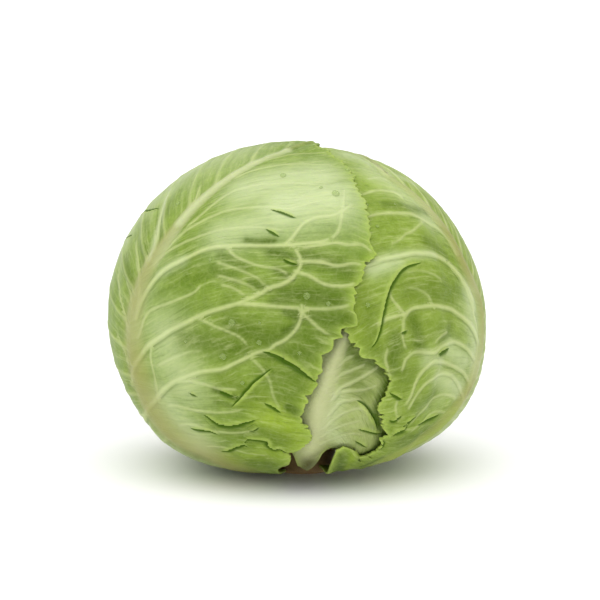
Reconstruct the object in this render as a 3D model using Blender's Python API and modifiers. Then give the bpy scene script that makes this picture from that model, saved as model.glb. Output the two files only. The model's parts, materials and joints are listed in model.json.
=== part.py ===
"""Iceberg lettuce: a round head wrapped in five large leaves, over a dense heart and a cut stem.

Metres, +Z up, the front of the head towards -Y. The origin is on the surface that the head stands on,
under the middle of its box. The leaves are thin shells that lie on one another round a dense heart.
Their edges, midribs and side veins are drawn by the places where a viewer in front sees them, or by
places on a globe whose south pole is the stem.
"""

import math
from functools import partial

import bpy
import numpy as np

# The head as a whole: half-widths to the left and right, half its depth, and its rise and drop from
# the level where it is widest.
HALF_LEFT = 0.0809
HALF_RIGHT = 0.0827
HALF_DEPTH = 0.0765
RISE = 0.0756
DROP = 0.0647
POWER_ABOVE = 2.06
POWER_BELOW = 2.61
CENTRE = np.array([0.0, 0.0036, 0.0650])

# Flattened spots of the head: the way to each, its depth and how narrow it is.
FLAT_SPOTS = (
    ((-0.89, -0.10, -0.44), 0.0040, 24),
    ((0.78, -0.10, -0.62), 0.0008, 10),
    ((0.91, 0.00, 0.41), 0.0016, 14),
    ((0.00, -0.34, -0.94), 0.0016, 24),
)

# The viewer in front, and the drawing that places are read from.
DRAWING_MIDDLE = np.array([300.0, 300.0])
METRES_PER_UNIT = 0.0004365
VIEW_TARGET = CENTRE + np.array([0.0011, 0.0, 0.0083])
VIEW_DISTANCE = 0.9
VIEW_ELEVATION = math.radians(8)

# The cut stem stands a little in front of the middle.
STEM_RADIUS = 0.014
STEM_FOOT = np.array([0.0025, -0.0024, 0.0])
STEM_GAP = 0.0004
STEM_ROUNDING = 0.0012
LEAST_STEM_ANGLE = 15.0

# The heart: its depth under the outside of the head, and how often its leaf edges wind round it.
HEART_DEPTH = 0.0107
HEART_WINDINGS = 3

# The leaves: their thickness, and how far each one's outside lies from the outside of the head.
LEAF_THICKNESS = 0.0012
LEAF_GAP = 0.0008
LEVEL_STEP = 0.0019
DRAPE_REACH = 0.009
DRAPE_SLOPE = 0.35
FLOOR_GAP = 0.0004

# The relief of a leaf fades between these heights of its direction from the head's centre.
PRESSED_BELOW = -0.88
FREE_ABOVE = -0.53

# Relief on the outside of a leaf.
VEIN_HEIGHT = 0.0012
MIDRIB_HEIGHT = 0.0023
BULGE_HEIGHT = 0.0010

# Shares of a leaf's length, from base to tip: where its relief starts and is full, and where its edge
# starts to lift and lifts fully. Then how far a base's lift reaches.
RELIEF_FROM, RELIEF_FULL = 0.03, 0.15
EDGE_FROM, EDGE_FULL = 0.15, 0.23
EDGE_FADE = 0.06
BASE_REACH = 0.3

# The midrib's half-width as a share of half the leaf, how much of its height is gone at the tip, and
# the waves of a lifted edge from one cross line to the next.
MIDRIB_SHARE = 0.16
MIDRIB_FADE = 0.75
EDGE_WAVES = 3.4

# How far a side vein that nothing in front shows leans towards the tip.
SIDE_BOW = 0.05
FRONT_BOW = 0.03
BACK_BOW = 0.06

# The cut of a leaf's margin, as a share of the head's radius, and how the blade follows it.
RAGGED_DEPTH = 0.012
RAGGED_WAVES = 2.3
EDGE_POINTS = 400
MARGIN_PULL = 4

ROWS_PER_VEIN = 3


def unit(vectors):
    """The same vectors with length 1."""
    vectors = np.asarray(vectors, float)
    return vectors / np.linalg.norm(vectors, axis=-1, keepdims=True)


STEM_POLE = unit(STEM_FOOT - CENTRE)
POLE_FRONT = unit(np.cross(STEM_POLE, [1.0, 0.0, 0.0]))
POLE_RIGHT = np.cross(POLE_FRONT, STEM_POLE)


def head_radius(directions):
    """Distance from the head's centre to its outside in each direction."""
    x, y, z = np.moveaxis(directions, -1, 0)
    across = np.hypot(x / np.where(x < 0, HALF_LEFT, HALF_RIGHT), y / HALF_DEPTH)
    height = np.abs(z) / np.where(z < 0, DROP, RISE)
    power = np.where(z < 0, POWER_BELOW, POWER_ABOVE)
    radius = (across**power + height**power) ** (-1 / power)
    for towards, depth, narrowness in FLAT_SPOTS:
        radius -= depth * np.maximum(directions @ unit(towards), 0) ** narrowness
    return radius


def seen(*places, level=0):
    """Directions from the head's centre to the places that the viewer sees on the leaf at a level."""
    right = np.array([1.0, 0.0, 0.0])
    back = np.array([0.0, -math.cos(VIEW_ELEVATION), math.sin(VIEW_ELEVATION)])
    up = np.cross(back, right)
    eye = VIEW_TARGET + back * VIEW_DISTANCE
    offset = (np.asarray(places, float) - DRAWING_MIDDLE) * METRES_PER_UNIT
    rays = unit(VIEW_TARGET + offset[:, :1] * right - offset[:, 1:] * up - eye)
    depth = level * LEVEL_STEP
    nearest = (CENTRE - eye) @ rays.T
    travel = nearest - 2 * RISE
    for _ in range(80):
        reached = eye + rays * travel[:, None] - CENTRE
        clear = np.linalg.norm(reached, axis=1) - head_radius(unit(reached)) + depth
        travel = np.minimum(travel + 0.7 * clear, nearest)
    return list(unit(eye + rays * travel[:, None] - CENTRE))


def globe(bearing, angle):
    """The direction at an angle from the stem. Bearing 0 is the front, 90 the viewer's right."""
    turn, tilt = math.radians(bearing), math.radians(angle)
    outward = math.cos(turn) * POLE_FRONT + math.sin(turn) * POLE_RIGHT
    return math.cos(tilt) * STEM_POLE + math.sin(tilt) * outward


def along(points, count):
    """Directions evenly spaced on a smooth line through the given ones, first and last included."""
    points = np.asarray(points, float)
    if len(points) == 2:
        share = np.linspace(0, 1, count)[:, None]
        return unit(points[0] * (1 - share) + points[1] * share)
    padded = np.concatenate([[2 * points[0] - points[1]], points, [2 * points[-1] - points[-2]]])
    fine = catmull_rom(padded, np.linspace(0, len(points) - 1, 24 * len(points)))
    steps = np.linalg.norm(np.diff(fine, axis=0), axis=1)
    length = np.concatenate([[0], np.cumsum(steps)])
    wanted = np.linspace(0, length[-1], count)
    return unit(np.stack([np.interp(wanted, length, fine[:, k]) for k in range(3)], axis=1))


def beside(direction, right, back):
    """A direction a little to the right of another and behind it."""
    return unit(direction + np.array([right, back, 0.0]))


def catmull_rom(padded, places):
    """Points on the curve through padded[1:-1], at places counted from its first point."""
    start = np.clip(np.floor(places).astype(int), 0, len(padded) - 4)
    t = (places - start).reshape((-1,) + (1,) * (padded.ndim - 1))
    a, b, c, d = (padded[start + k] for k in range(4))
    return 0.5 * (2 * b + (c - a) * t + (2 * a - 5 * b + 4 * c - d) * t**2 + (3 * b - a - 3 * c + d) * t**3)


def bowed(start, end, forward, bow):
    """A side vein by rule: it leaves start, leans forward by bow and ends at end."""
    share = np.linspace(0, 1, 7)[:, None]
    middle = unit(start + end) + forward * bow
    return unit(start * (1 - share) ** 2 + 2 * middle * share * (1 - share) + end * share**2)


class Leaf:
    """A leaf as cross lines from base to tip. Each has a left and a right line from the midrib out.

    A margin, where it is given, is the line from base to tip that the ends of those lines are moved to.
    """

    def __init__(self, name, level, left, right, left_margin=None, right_margin=None, base_lift=0.0,
                 edge_lift=0.0, free_edge=1.0):
        self.name = name
        self.level = -level * LEVEL_STEP
        self.base_lift = base_lift
        self.edge_lift = edge_lift
        self.free_edge = free_edge
        self.halves = ((left, left_margin), (right, right_margin))
        self.cross_lines = len(left)

    def directions(self, rows, columns):
        """A grid of directions, rows from base to tip and columns from the left edge to the right."""
        left, right = (self.half(lines, margin, rows, columns) for lines, margin in self.halves)
        return unit(np.concatenate([left[:, :0:-1], right], axis=1))

    def half(self, lines, margin, rows, columns):
        """The grid of one half of the leaf, columns from the midrib out."""
        points = np.array([along(line, columns + 1) for line in lines])
        padded = np.concatenate([[2 * points[0] - points[1]], points, [2 * points[-1] - points[-2]]])
        grid = unit(catmull_rom(padded, np.linspace(0, len(points) - 1, rows)))
        row = np.linspace(0, len(lines) - 1, rows)
        target = ragged_edge(grid, row) if margin is None else drawn_edge(points[:, -1], margin, row)
        pull = np.linspace(0, 1, columns + 1) ** MARGIN_PULL
        return grid + (target - grid[:, -1])[:, None] * pull[:, None]


def ragged_edge(grid, row):
    """The outer column of a grid, cut back unevenly."""
    cut = RAGGED_DEPTH * (waves(RAGGED_WAVES * row) - 1)
    return grid[:, -1] + cut[:, None] * unit(grid[:, -1] - grid[:, -2])


def drawn_edge(ends, margin, row):
    """Places on the margin for every row, so that each cross line ends at the margin's nearest place."""
    edge = along(margin, EDGE_POINTS)
    nearest = (ends @ edge.T).argmax(axis=1)
    nearest[0], nearest[-1] = 0, EDGE_POINTS - 1
    place = np.interp(row, np.arange(len(ends)), np.maximum.accumulate(nearest))
    return np.stack([np.interp(place, np.arange(EDGE_POINTS), edge[:, k]) for k in range(3)], axis=1)


def midrib_heading(midrib, k):
    """The way to the tip at the midrib's point k."""
    ahead, behind = midrib[min(k + 1, len(midrib) - 1)], midrib[max(k - 1, 0)]
    return unit(ahead - behind)


def ruled_half(midrib, edge, bow):
    """The side veins of a half whose edge is given, one for each point of the midrib."""
    pairs = zip(midrib, edge)
    return [bowed(m, e, midrib_heading(midrib, k), bow) for k, (m, e) in enumerate(pairs)]


def ruled_leaf(name, level, bearing, reach, span, count=10):
    """A leaf that nothing in front shows: its midrib runs straight from the stem over the head."""
    share = np.linspace(0, 1, count)
    angle = LEAST_STEM_ANGLE + (reach - LEAST_STEM_ANGLE) * share
    midrib = [globe(bearing, a) for a in angle]
    width = np.interp(share, [0, 0.15, 0.45, 0.75, 0.92, 1], [0.64, 0.76, 1, 0.98, 0.7, 0.25]) * span
    lift = np.interp(share, [0, 0.5, 0.85, 1], [1, 16, 10, -1])
    right = [globe(bearing + w, a + up) for w, a, up in zip(width, angle, lift)]
    left = [globe(bearing - w, a + up) for w, a, up in zip(width, angle, lift)]
    return Leaf(name, level, ruled_half(midrib, left, BACK_BOW), ruled_half(midrib, right, BACK_BOW))


def left_leaf():
    """The outermost leaf. Its midrib climbs the left side and its right half covers the front."""
    at, edge_at = partial(seen, level=-0.5), partial(seen, level=-1.3)
    right = [
        [globe(-58, LEAST_STEM_ANGLE), globe(-42, LEAST_STEM_ANGLE), globe(-25, LEAST_STEM_ANGLE)],
        at((222, 461), (248, 466), (270, 466), (291, 462)),
        at((175, 435), (205, 443), (250, 443), (302, 445)),
        at((155, 412), (190, 420), (240, 420), (311, 431)),
        at((146, 393), (180, 398), (230, 398), (270, 397), (304, 404)),
        at((140, 377), (165, 385), (195, 376), (225, 369), (252, 359), (285, 362), (320, 375)),
        at((135, 352), (155, 342), (175, 330), (200, 318), (230, 308), (280, 307), (338, 308), (355, 312)),
        at((134, 326), (150, 316), (175, 304), (200, 291), (240, 282), (300, 276), (330, 278), (362, 277)),
        at((139, 296), (160, 272), (180, 261), (200, 252), (222, 246), (260, 246), (300, 247), (350, 248),
           (373, 256)),
        at((150, 266), (175, 245), (205, 231), (245, 221), (290, 216), (340, 214), (369, 220)),
        at((167, 241), (200, 216), (240, 203), (300, 197), (362, 198)),
        at((190, 212), (222, 196), (262, 185), (310, 180), (356, 180)),
        at((215, 189), (245, 178), (290, 170), (325, 168), (348, 165)),
        at((250, 166), (280, 160), (310, 157), (336, 155)),
        at((285, 152), (305, 149), (326, 147)),
        at((312, 142), (315, 142), (318, 141)),
    ]
    margin = [globe(-25, LEAST_STEM_ANGLE)]
    margin += edge_at((276, 471), (280, 466), (290, 462), (291, 452), (297, 450), (306, 445), (313, 437))
    margin += edge_at((312, 432), (308, 426), (303, 421), (304, 410), (309, 402), (312, 393), (316, 386))
    margin += edge_at((321, 375), (324, 367), (327, 358), (330, 351), (335, 349), (340, 344), (343, 337))
    margin += edge_at((339, 331), (345, 328), (355, 326), (354, 314), (355, 305), (357, 298), (356, 290))
    margin += edge_at((357, 285), (362, 280), (366, 268), (370, 263), (374, 258), (375, 253), (371, 247))
    margin += edge_at((369, 240), (370, 230), (369, 218), (368, 210), (365, 202), (361, 196), (357, 189))
    margin += edge_at((355, 182), (356, 176), (352, 169), (345, 162), (335, 154), (328, 148), (318, 145))
    margin += edge_at((318.5, 140), (316, 139))
    midrib = [line[0] for line in right]
    bearings = [-90, -105, -120, -132, -140, -146, -150, -152, -154, -156, -158, -162, -168, -178, -190]
    angles = [18, 34, 52, 66, 78, 90, 101, 111, 121, 130, 138, 145, 151, 157, 164]
    edge = [globe(b, a) for b, a in zip(bearings, angles)] + [beside(midrib[-1], -0.02, 0.05)]
    left = ruled_half(midrib, edge, SIDE_BOW)
    return Leaf("leaf_left", 0, left, right, right_margin=margin, edge_lift=0.0009, free_edge=0.98)


def right_leaf():
    """The second leaf. Its midrib climbs the right side and its left half tucks under the left leaf."""
    at, edge_at = partial(seen, level=0.3), partial(seen, level=-0.7)
    left = [
        [globe(62, LEAST_STEM_ANGLE), globe(43, LEAST_STEM_ANGLE), globe(24, LEAST_STEM_ANGLE)],
        at((366, 466), (350, 462), (337, 455)),
        at((392, 455), (376, 459), (356, 462)),
        at((420, 441), (398, 448), (370, 451)),
        at((446, 419), (430, 428), (405, 437), (381, 434)),
        at((462, 398), (445, 404), (420, 412), (400, 419), (378, 418)),
        at((471, 381), (455, 379), (435, 385), (410, 395), (378, 402)),
        at((477, 362), (465, 366), (450, 365), (433, 361), (417, 373), (387, 381)),
        at((480, 345), (468, 347), (447, 343), (425, 351), (407, 352), (374, 361)),
        at((481, 325), (470, 320), (455, 310), (435, 306), (410, 310), (385, 319), (350, 341)),
        at((479, 303), (465, 292), (445, 285), (415, 283), (390, 290), (341, 306)),
        at((472, 284), (460, 272), (445, 264), (425, 257), (400, 257), (375, 264), (337, 274)),
        at((462, 262), (450, 247), (430, 240), (400, 236), (370, 240), (333, 245)),
        at((450, 238), (435, 224), (415, 217), (390, 216), (360, 218), (328, 220)),
        at((433, 215), (415, 204), (390, 196), (360, 194), (326, 197)),
        at((410, 192), (390, 182), (365, 176), (325, 178)),
        at((385, 173), (365, 166), (325, 162)),
        [beside(place, 0.0, 0.12) for place in at((354, 153), (340, 150), (325, 149))],
    ]
    margin = [globe(24, LEAST_STEM_ANGLE)]
    margin += edge_at((328, 468), (331, 460), (333, 453), (336, 448), (342, 446), (349, 449), (354, 456))
    margin += edge_at((363, 457), (373, 451), (378, 445), (380, 437), (383, 432), (381, 426), (378, 418))
    margin += edge_at((376, 410), (378, 402), (382, 396), (386, 389), (388, 383), (387, 378), (384, 374))
    margin += edge_at((381, 369), (377, 366), (373, 360), (367, 358), (360, 357), (356, 350), (351, 345))
    margin += edge_at((345, 338), (341, 322), (341, 306), (338, 288), (337, 274), (333, 245), (328, 220))
    margin += edge_at((326, 197), (325, 178), (325, 162)) + [left[-1][-1]]
    midrib = [line[0] for line in left]
    bearings = [88, 96, 108, 121, 132, 140, 146, 150, 152, 154, 156, 158, 162, 167, 173, 180, 190]
    angles = [18, 26, 38, 51, 64, 76, 87, 97, 106, 115, 123, 131, 138, 145, 152, 159, 166]
    edge = [globe(b, a) for b, a in zip(bearings, angles)] + [beside(midrib[-1], 0.03, 0.07)]
    right = ruled_half(midrib, edge, SIDE_BOW)
    return Leaf("leaf_right", 1, left, right, left_margin=margin, edge_lift=0.0020, free_edge=0.56)


def front_leaf():
    """The pale leaf that shows between the other two. Its base is a thick blunt end."""
    at = partial(seen, level=0.7)
    right = [
        at((306, 464), (312, 461), (317, 456)),
        at((309, 452), (316, 451), (324, 450)),
        at((311, 440), (325, 440), (337, 447)),
        at((313, 430), (330, 429), (343, 437), (348, 452)),
        at((315, 419), (335, 415), (350, 427), (354, 444), (344, 463)),
        at((318, 404), (338, 396), (358, 402), (368, 424), (366, 459)),
        at((323, 388), (345, 383), (366, 384), (382, 402), (388, 448)),
        at((330, 368), (350, 362), (372, 356), (392, 372), (404, 410)),
        at((338, 350), (358, 340), (380, 332), (404, 340), (416, 366)),
        at((350, 326), (370, 312), (395, 302), (424, 306)),
        at((361, 299), (380, 286), (402, 276), (424, 272)),
        at((370, 268), (390, 254), (414, 242)),
        at((377, 235), (386, 226), (396, 218)),
    ]
    margin = at((306, 465), (312, 462), (317, 457), (322, 451), (328, 448), (337, 447), (345, 449))
    margin += at((349, 453), (344, 463), (353, 463), (364, 460), (376, 455), (388, 448), (398, 431))
    margin += at((404, 410), (412, 385), (418, 360), (424, 330), (424, 306), (424, 272), (414, 242))
    margin += at((396, 218))
    midrib = [line[0] for line in right]
    left = at((297, 462), (291, 452), (286, 440), (282, 426), (278, 410), (275, 392), (272, 372))
    left += at((272, 352), (275, 330), (284, 302), (304, 270), (332, 240), (362, 222))
    left = ruled_half(midrib, left, FRONT_BOW)
    return Leaf("leaf_front", 1.2, left, right, right_margin=margin, base_lift=0.0005)


def floor_room(directions):
    """How far out of the head's outline a leaf may stand before it meets the floor."""
    return (CENTRE[2] - FLOOR_GAP) / np.maximum(-directions[:, 2], 0.01) - head_radius(directions)


def resting_height(directions, pile):
    """How far a leaf must lie outside the head's outline to clear the pile, falling off around it."""
    if not pile:
        return np.full(len(directions), -1.0)
    below = np.concatenate([places for places, _ in pile])
    tops = np.concatenate([heights for _, heights in pile])
    distance = np.arccos(np.clip(directions @ below.T, -1, 1)) * HALF_DEPTH
    return (tops - DRAPE_SLOPE * np.maximum(distance - DRAPE_REACH, 0)).max(axis=1)


def waves(place):
    """An uneven wave between -1 and 1 that does not repeat."""
    return (np.sin(place) + np.sin(2.27 * place + 1.3) + np.sin(0.61 * place + 4)) / 3


def bump(distance):
    """1 at 0, falling smoothly to 0 at 1."""
    return np.cos(np.clip(distance, 0, 1) * math.pi / 2) ** 2


def between(values, low, high):
    """0 up to low, 1 from high on, and even in between."""
    return np.clip((values - low) / (high - low), 0, 1)


def freedom(leaf, directions):
    """1 on the head's sides, 0 under it, where the floor presses a leaf flat. A lifted base is free."""
    if leaf.base_lift:
        return np.ones(len(directions))
    return between(directions[:, 2], PRESSED_BELOW, FREE_ABOVE)


def relief(leaf, along_leaf, across, directions):
    """How far veins, midrib and the leaf between them stand out of the leaf's level."""
    row = along_leaf * (leaf.cross_lines - 1)
    from_vein = np.abs(row - np.round(row))
    outward = np.abs(across)
    near_base = between(along_leaf, RELIEF_FROM, RELIEF_FULL)
    vein = VEIN_HEIGHT * bump(from_vein * ROWS_PER_VEIN) * bump(outward**2) * near_base
    bulge = BULGE_HEIGHT * np.sin(math.pi * from_vein) * np.sin(math.pi * outward) * near_base
    midrib = MIDRIB_HEIGHT * bump(outward / MIDRIB_SHARE) * (1 - MIDRIB_FADE * along_leaf) * near_base
    edge = leaf.edge_lift * outward**5 * (1 + waves(EDGE_WAVES * row + np.sign(across))) / 2
    edge *= between(along_leaf, EDGE_FROM, EDGE_FULL)
    edge *= 1 - between(along_leaf, leaf.free_edge - EDGE_FADE, leaf.free_edge)
    base = leaf.base_lift * (1 - between(along_leaf, 0, BASE_REACH)) ** 2 * bump(outward / 1.5)
    return (np.maximum(vein, midrib) + bulge + edge) * freedom(leaf, directions) + base


def in_front_of_stem(directions):
    """Directions moved away from the stem where they would cross it."""
    lean = directions @ STEM_POLE
    least = math.radians(LEAST_STEM_ANGLE)
    outward = unit(directions - lean[:, None] * STEM_POLE)
    moved = math.cos(least) * STEM_POLE + math.sin(least) * outward
    return np.where((lean > math.cos(least))[:, None], moved, directions)


def cell_middles(grid):
    """The mean of the four corners of every cell, in one list."""
    middles = (grid[1:, 1:] + grid[1:, :-1] + grid[:-1, 1:] + grid[:-1, :-1]) / 4
    return middles.reshape(-1, grid.shape[-1])


def make_leaf(leaf, columns, pile, collection, colour):
    """A leaf as a flat grid bent to its place, with its thickness on the inside."""
    rows = (leaf.cross_lines - 1) * ROWS_PER_VEIN + 1
    bpy.ops.mesh.primitive_grid_add(x_subdivisions=2 * columns, y_subdivisions=rows - 1, size=2)
    obj = bpy.context.object
    obj.name = obj.data.name = leaf.name
    flat = np.empty(len(obj.data.vertices) * 3)
    obj.data.vertices.foreach_get("co", flat)
    across, along_leaf = flat.reshape(-1, 3)[:, 0], (flat.reshape(-1, 3)[:, 1] + 1) / 2
    directions = in_front_of_stem(leaf.directions(rows, columns).reshape(-1, 3))
    lowest = np.maximum(leaf.level - LEAF_THICKNESS, resting_height(directions, pile) + LEAF_GAP)
    heights = lowest + LEAF_THICKNESS + relief(leaf, along_leaf, across, directions)
    heights = np.minimum(heights, floor_room(directions))
    points = CENTRE + directions * (head_radius(directions) + heights)[:, None]
    obj.data.vertices.foreach_set("co", points.ravel())
    obj.data.flip_normals()
    pile.append((directions, heights))
    shape = (rows, 2 * columns + 1)
    middle_directions = cell_middles(directions.reshape(*shape, 3))
    pile.append((unit(middle_directions), cell_middles(heights.reshape(*shape, 1)).ravel()))
    finish(obj, collection, colour)
    triangles = obj.modifiers.new("Triangles", "TRIANGULATE")
    triangles.quad_method = "FIXED"
    wall = obj.modifiers.new("Thickness", "SOLIDIFY")
    wall.thickness = LEAF_THICKNESS
    wall.offset = -1
    return obj


def finish(obj, collection, colour, roughness=0.5):
    """Puts an object in its collection, smooth, with its own material."""
    for old in list(obj.users_collection):
        old.objects.unlink(obj)
    collection.objects.link(obj)
    obj.data.shade_smooth()
    material = bpy.data.materials.new(obj.name)
    material.use_nodes = True
    shader = material.node_tree.nodes["Principled BSDF"]
    shader.inputs["Base Color"].default_value = (*colour, 1)
    shader.inputs["Roughness"].default_value = roughness
    obj.data.materials.append(material)


def make_heart(collection, pile):
    """The dense heart, with the edges of its own leaves as steps wound round it."""
    bpy.ops.mesh.primitive_uv_sphere_add(segments=40, ring_count=20, radius=1)
    obj = bpy.context.object
    obj.name = obj.data.name = "heart"
    flat = np.empty(len(obj.data.vertices) * 3)
    obj.data.vertices.foreach_get("co", flat)
    directions = unit(flat.reshape(-1, 3))
    turn = np.arctan2(directions[:, 0], -directions[:, 1]) / (2 * math.pi)
    winding = (HEART_WINDINGS * turn + 0.4 * directions[:, 2]) % 1
    step = LEAF_THICKNESS * winding * np.clip(1 - np.abs(directions[:, 2]) ** 4, 0, 1)
    heights = step - HEART_DEPTH
    points = CENTRE + directions * (head_radius(directions) + heights)[:, None]
    obj.data.vertices.foreach_set("co", points.ravel())
    pile.append((directions, heights))
    finish(obj, collection, (0.78, 0.84, 0.55))
    return obj


def make_stem(collection):
    """The cut stem, whose flat end the head stands on."""
    top = CENTRE[2] - DROP + HEART_DEPTH - STEM_GAP
    place = STEM_FOOT + np.array([0, 0, top / 2])
    bpy.ops.mesh.primitive_cylinder_add(vertices=28, radius=STEM_RADIUS, depth=top, location=tuple(place))
    obj = bpy.context.object
    obj.name = obj.data.name = "stem"
    rounding = obj.modifiers.new("Rounding", "BEVEL")
    rounding.width = STEM_ROUNDING
    rounding.segments = 1
    rounding.limit_method = "ANGLE"
    finish(obj, collection, (0.72, 0.66, 0.45), roughness=0.6)
    return obj


def clear_scene():
    for obj in list(bpy.data.objects):
        bpy.data.objects.remove(obj)


def main():
    clear_scene()
    collection = bpy.data.collections.new("iceberg_lettuce")
    bpy.context.scene.collection.children.link(collection)
    pile = []
    make_stem(collection)
    make_heart(collection, pile)
    make_leaf(ruled_leaf("leaf_back_right", 4, 129, 150, 78), 8, pile, collection, (0.55, 0.68, 0.30))
    make_leaf(ruled_leaf("leaf_back", 3, -146, 160, 84), 8, pile, collection, (0.50, 0.66, 0.27))
    make_leaf(front_leaf(), 8, pile, collection, (0.66, 0.74, 0.45))
    make_leaf(right_leaf(), 12, pile, collection, (0.42, 0.60, 0.20))
    make_leaf(left_leaf(), 12, pile, collection, (0.40, 0.58, 0.18))


main()
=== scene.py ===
"""Looks of an iceberg lettuce: veined leaves, a packed heart, a cut stem, water droplets and a studio.

Metres, +Z up, the front of the head towards -Y. Places on the leaves are read from a front drawing of
600 by 600 units, or given on a globe whose south pole is the stem.
"""

import json
import math
from functools import partial

import bpy
import numpy as np
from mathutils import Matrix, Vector

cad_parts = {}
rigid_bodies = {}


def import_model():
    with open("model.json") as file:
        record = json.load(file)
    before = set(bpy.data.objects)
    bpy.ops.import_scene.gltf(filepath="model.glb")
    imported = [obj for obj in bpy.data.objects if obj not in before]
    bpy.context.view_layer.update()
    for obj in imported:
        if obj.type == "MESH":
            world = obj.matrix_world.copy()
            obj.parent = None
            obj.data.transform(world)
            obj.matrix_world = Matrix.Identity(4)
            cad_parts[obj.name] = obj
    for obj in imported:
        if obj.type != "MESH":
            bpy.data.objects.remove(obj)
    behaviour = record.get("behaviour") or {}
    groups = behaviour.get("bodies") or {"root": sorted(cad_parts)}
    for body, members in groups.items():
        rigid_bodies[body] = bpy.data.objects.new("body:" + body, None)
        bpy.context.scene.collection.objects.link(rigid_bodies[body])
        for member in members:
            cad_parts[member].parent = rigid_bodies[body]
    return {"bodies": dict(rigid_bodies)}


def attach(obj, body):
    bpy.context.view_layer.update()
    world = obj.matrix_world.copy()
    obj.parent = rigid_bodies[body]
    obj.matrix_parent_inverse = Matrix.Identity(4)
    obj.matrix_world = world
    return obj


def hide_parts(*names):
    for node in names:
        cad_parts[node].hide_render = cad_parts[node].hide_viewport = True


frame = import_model()

bl_info = {
    "name": "Iceberg Lettuce",
    "version": (1, 0, 0),
    "blender": (4, 5, 0),
    "location": "View3D > Sidebar > Lettuce",
    "description": "Builds the leaves, heart, stem, droplets and studio of an iceberg lettuce",
    "category": "Add Mesh",
}

# The head as a whole
HALF_LEFT = 0.0809
HALF_RIGHT = 0.0827
HALF_DEPTH = 0.0765
RISE = 0.0756
DROP = 0.0647
POWER_ABOVE = 2.06
POWER_BELOW = 2.61
CENTRE = np.array([0.0, 0.0036, 0.0650])

# Flattened spots of the head: the way to each, its depth and how narrow it is.
FLAT_SPOTS = (
    ((-0.89, -0.10, -0.44), 0.0040, 24),
    ((0.78, -0.10, -0.62), 0.0008, 10),
    ((0.91, 0.00, 0.41), 0.0016, 14),
    ((0.00, -0.34, -0.94), 0.0016, 24),
)

# The viewer in front
DRAWING_MIDDLE = np.array([300.0, 300.0])
METRES_PER_UNIT = 0.0004365
VIEW_TARGET = CENTRE + np.array([0.0011, 0.0, 0.0083])
VIEW_DISTANCE = 0.9
VIEW_ELEVATION = math.radians(8)
VIEW_BACK = np.array([0.0, -math.cos(VIEW_ELEVATION), math.sin(VIEW_ELEVATION)])
SENSOR = 36.0

# Levels, in steps inwards from the head's outline, at which the viewer sees each leaf and its edge
LEFT_LEVEL, LEFT_EDGE_LEVEL = -0.5, -1.3
RIGHT_LEVEL, RIGHT_EDGE_LEVEL = 0.3, -0.7
FRONT_LEVEL = 0.7

# The studio: how bright its walls and ceiling are, how steeply up they end and start, and its light
WALLS = 1.15
CEILING = 0.55
WALL_TOP = 0.12
CEILING_START = 0.40
SUN_FROM = (-0.06, -0.36, 0.93)
SUN_WIDTH = 100

# Stem and layers
STEM_RADIUS = 0.014
STEM_FOOT = np.array([0.0025, -0.0024, 0.0])
LEAST_STEM_ANGLE = 15.0
LEAF_THICKNESS = 0.0012
LEAF_GAP = 0.0002
LEVEL_STEP = 0.0019
DRAPE_REACH = 0.009
DRAPE_SLOPE = 0.35
FLOOR_GAP = 0.0004
HEART_DEPTH = 5 * LEVEL_STEP + LEAF_THICKNESS
HEART_RELIEF = 0.0012
STEM_GAP = 0.0004
RAGGED_DEPTH = 0.012
EDGE_POINTS = 1600
TOOTHED_ROWS = 100
MARGIN_PULL = 4
DRAPE_ROWS = 3
DRAPE_COLUMNS = 12
POOL = 5
MM = 0.001

# Relief of a leaf: how far its lines reach to the side, and the heights of what lies between them
VEIN_REACH = 0.009
RIB_REACH = 0.014
PUFF_HEIGHT = 0.0009
PUFF_REACH = 0.007
FOLD_SINK = 0.0003
RIPPLE_HEIGHT = 0.0003
EDGE_BAND = 0.0015
NO_LINE = 3.0

# Droplets: the share of its radius by which one stands out, and how closely its place is taken
DROPLET_REST = 0.12
DROPLET_NEARNESS = 1e-4


# Places on the head


def unit(vectors):
    """The same vectors with length 1."""
    vectors = np.asarray(vectors, float)
    return vectors / np.linalg.norm(vectors, axis=-1, keepdims=True)


STEM_POLE = unit(STEM_FOOT - CENTRE)
POLE_FRONT = unit(np.cross(STEM_POLE, [1.0, 0.0, 0.0]))
POLE_RIGHT = np.cross(POLE_FRONT, STEM_POLE)


def head_radius(directions):
    """Distance from the head's centre to its outside in each direction."""
    x, y, z = np.moveaxis(directions, -1, 0)
    across = np.hypot(x / np.where(x < 0, HALF_LEFT, HALF_RIGHT), y / HALF_DEPTH)
    height = np.abs(z) / np.where(z < 0, DROP, RISE)
    power = np.where(z < 0, POWER_BELOW, POWER_ABOVE)
    radius = (across**power + height**power) ** (-1 / power)
    for towards, depth, narrowness in FLAT_SPOTS:
        radius -= depth * np.maximum(directions @ unit(towards), 0) ** narrowness
    return radius


def seen(*places, level):
    """Directions from the head's centre to the places that the viewer sees on the leaf at a level."""
    right = np.array([1.0, 0.0, 0.0])
    up = np.cross(VIEW_BACK, right)
    eye = VIEW_TARGET + VIEW_BACK * VIEW_DISTANCE
    offset = (np.asarray(places, float) - DRAWING_MIDDLE) * METRES_PER_UNIT
    rays = unit(VIEW_TARGET + offset[:, :1] * right - offset[:, 1:] * up - eye)
    depth = level * LEVEL_STEP
    nearest = (CENTRE - eye) @ rays.T
    travel = nearest - 2 * RISE
    for _ in range(80):
        reached = eye + rays * travel[:, None] - CENTRE
        clear = np.linalg.norm(reached, axis=1) - head_radius(unit(reached)) + depth
        travel = np.minimum(travel + 0.7 * clear, nearest)
    return list(unit(eye + rays * travel[:, None] - CENTRE))


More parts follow.
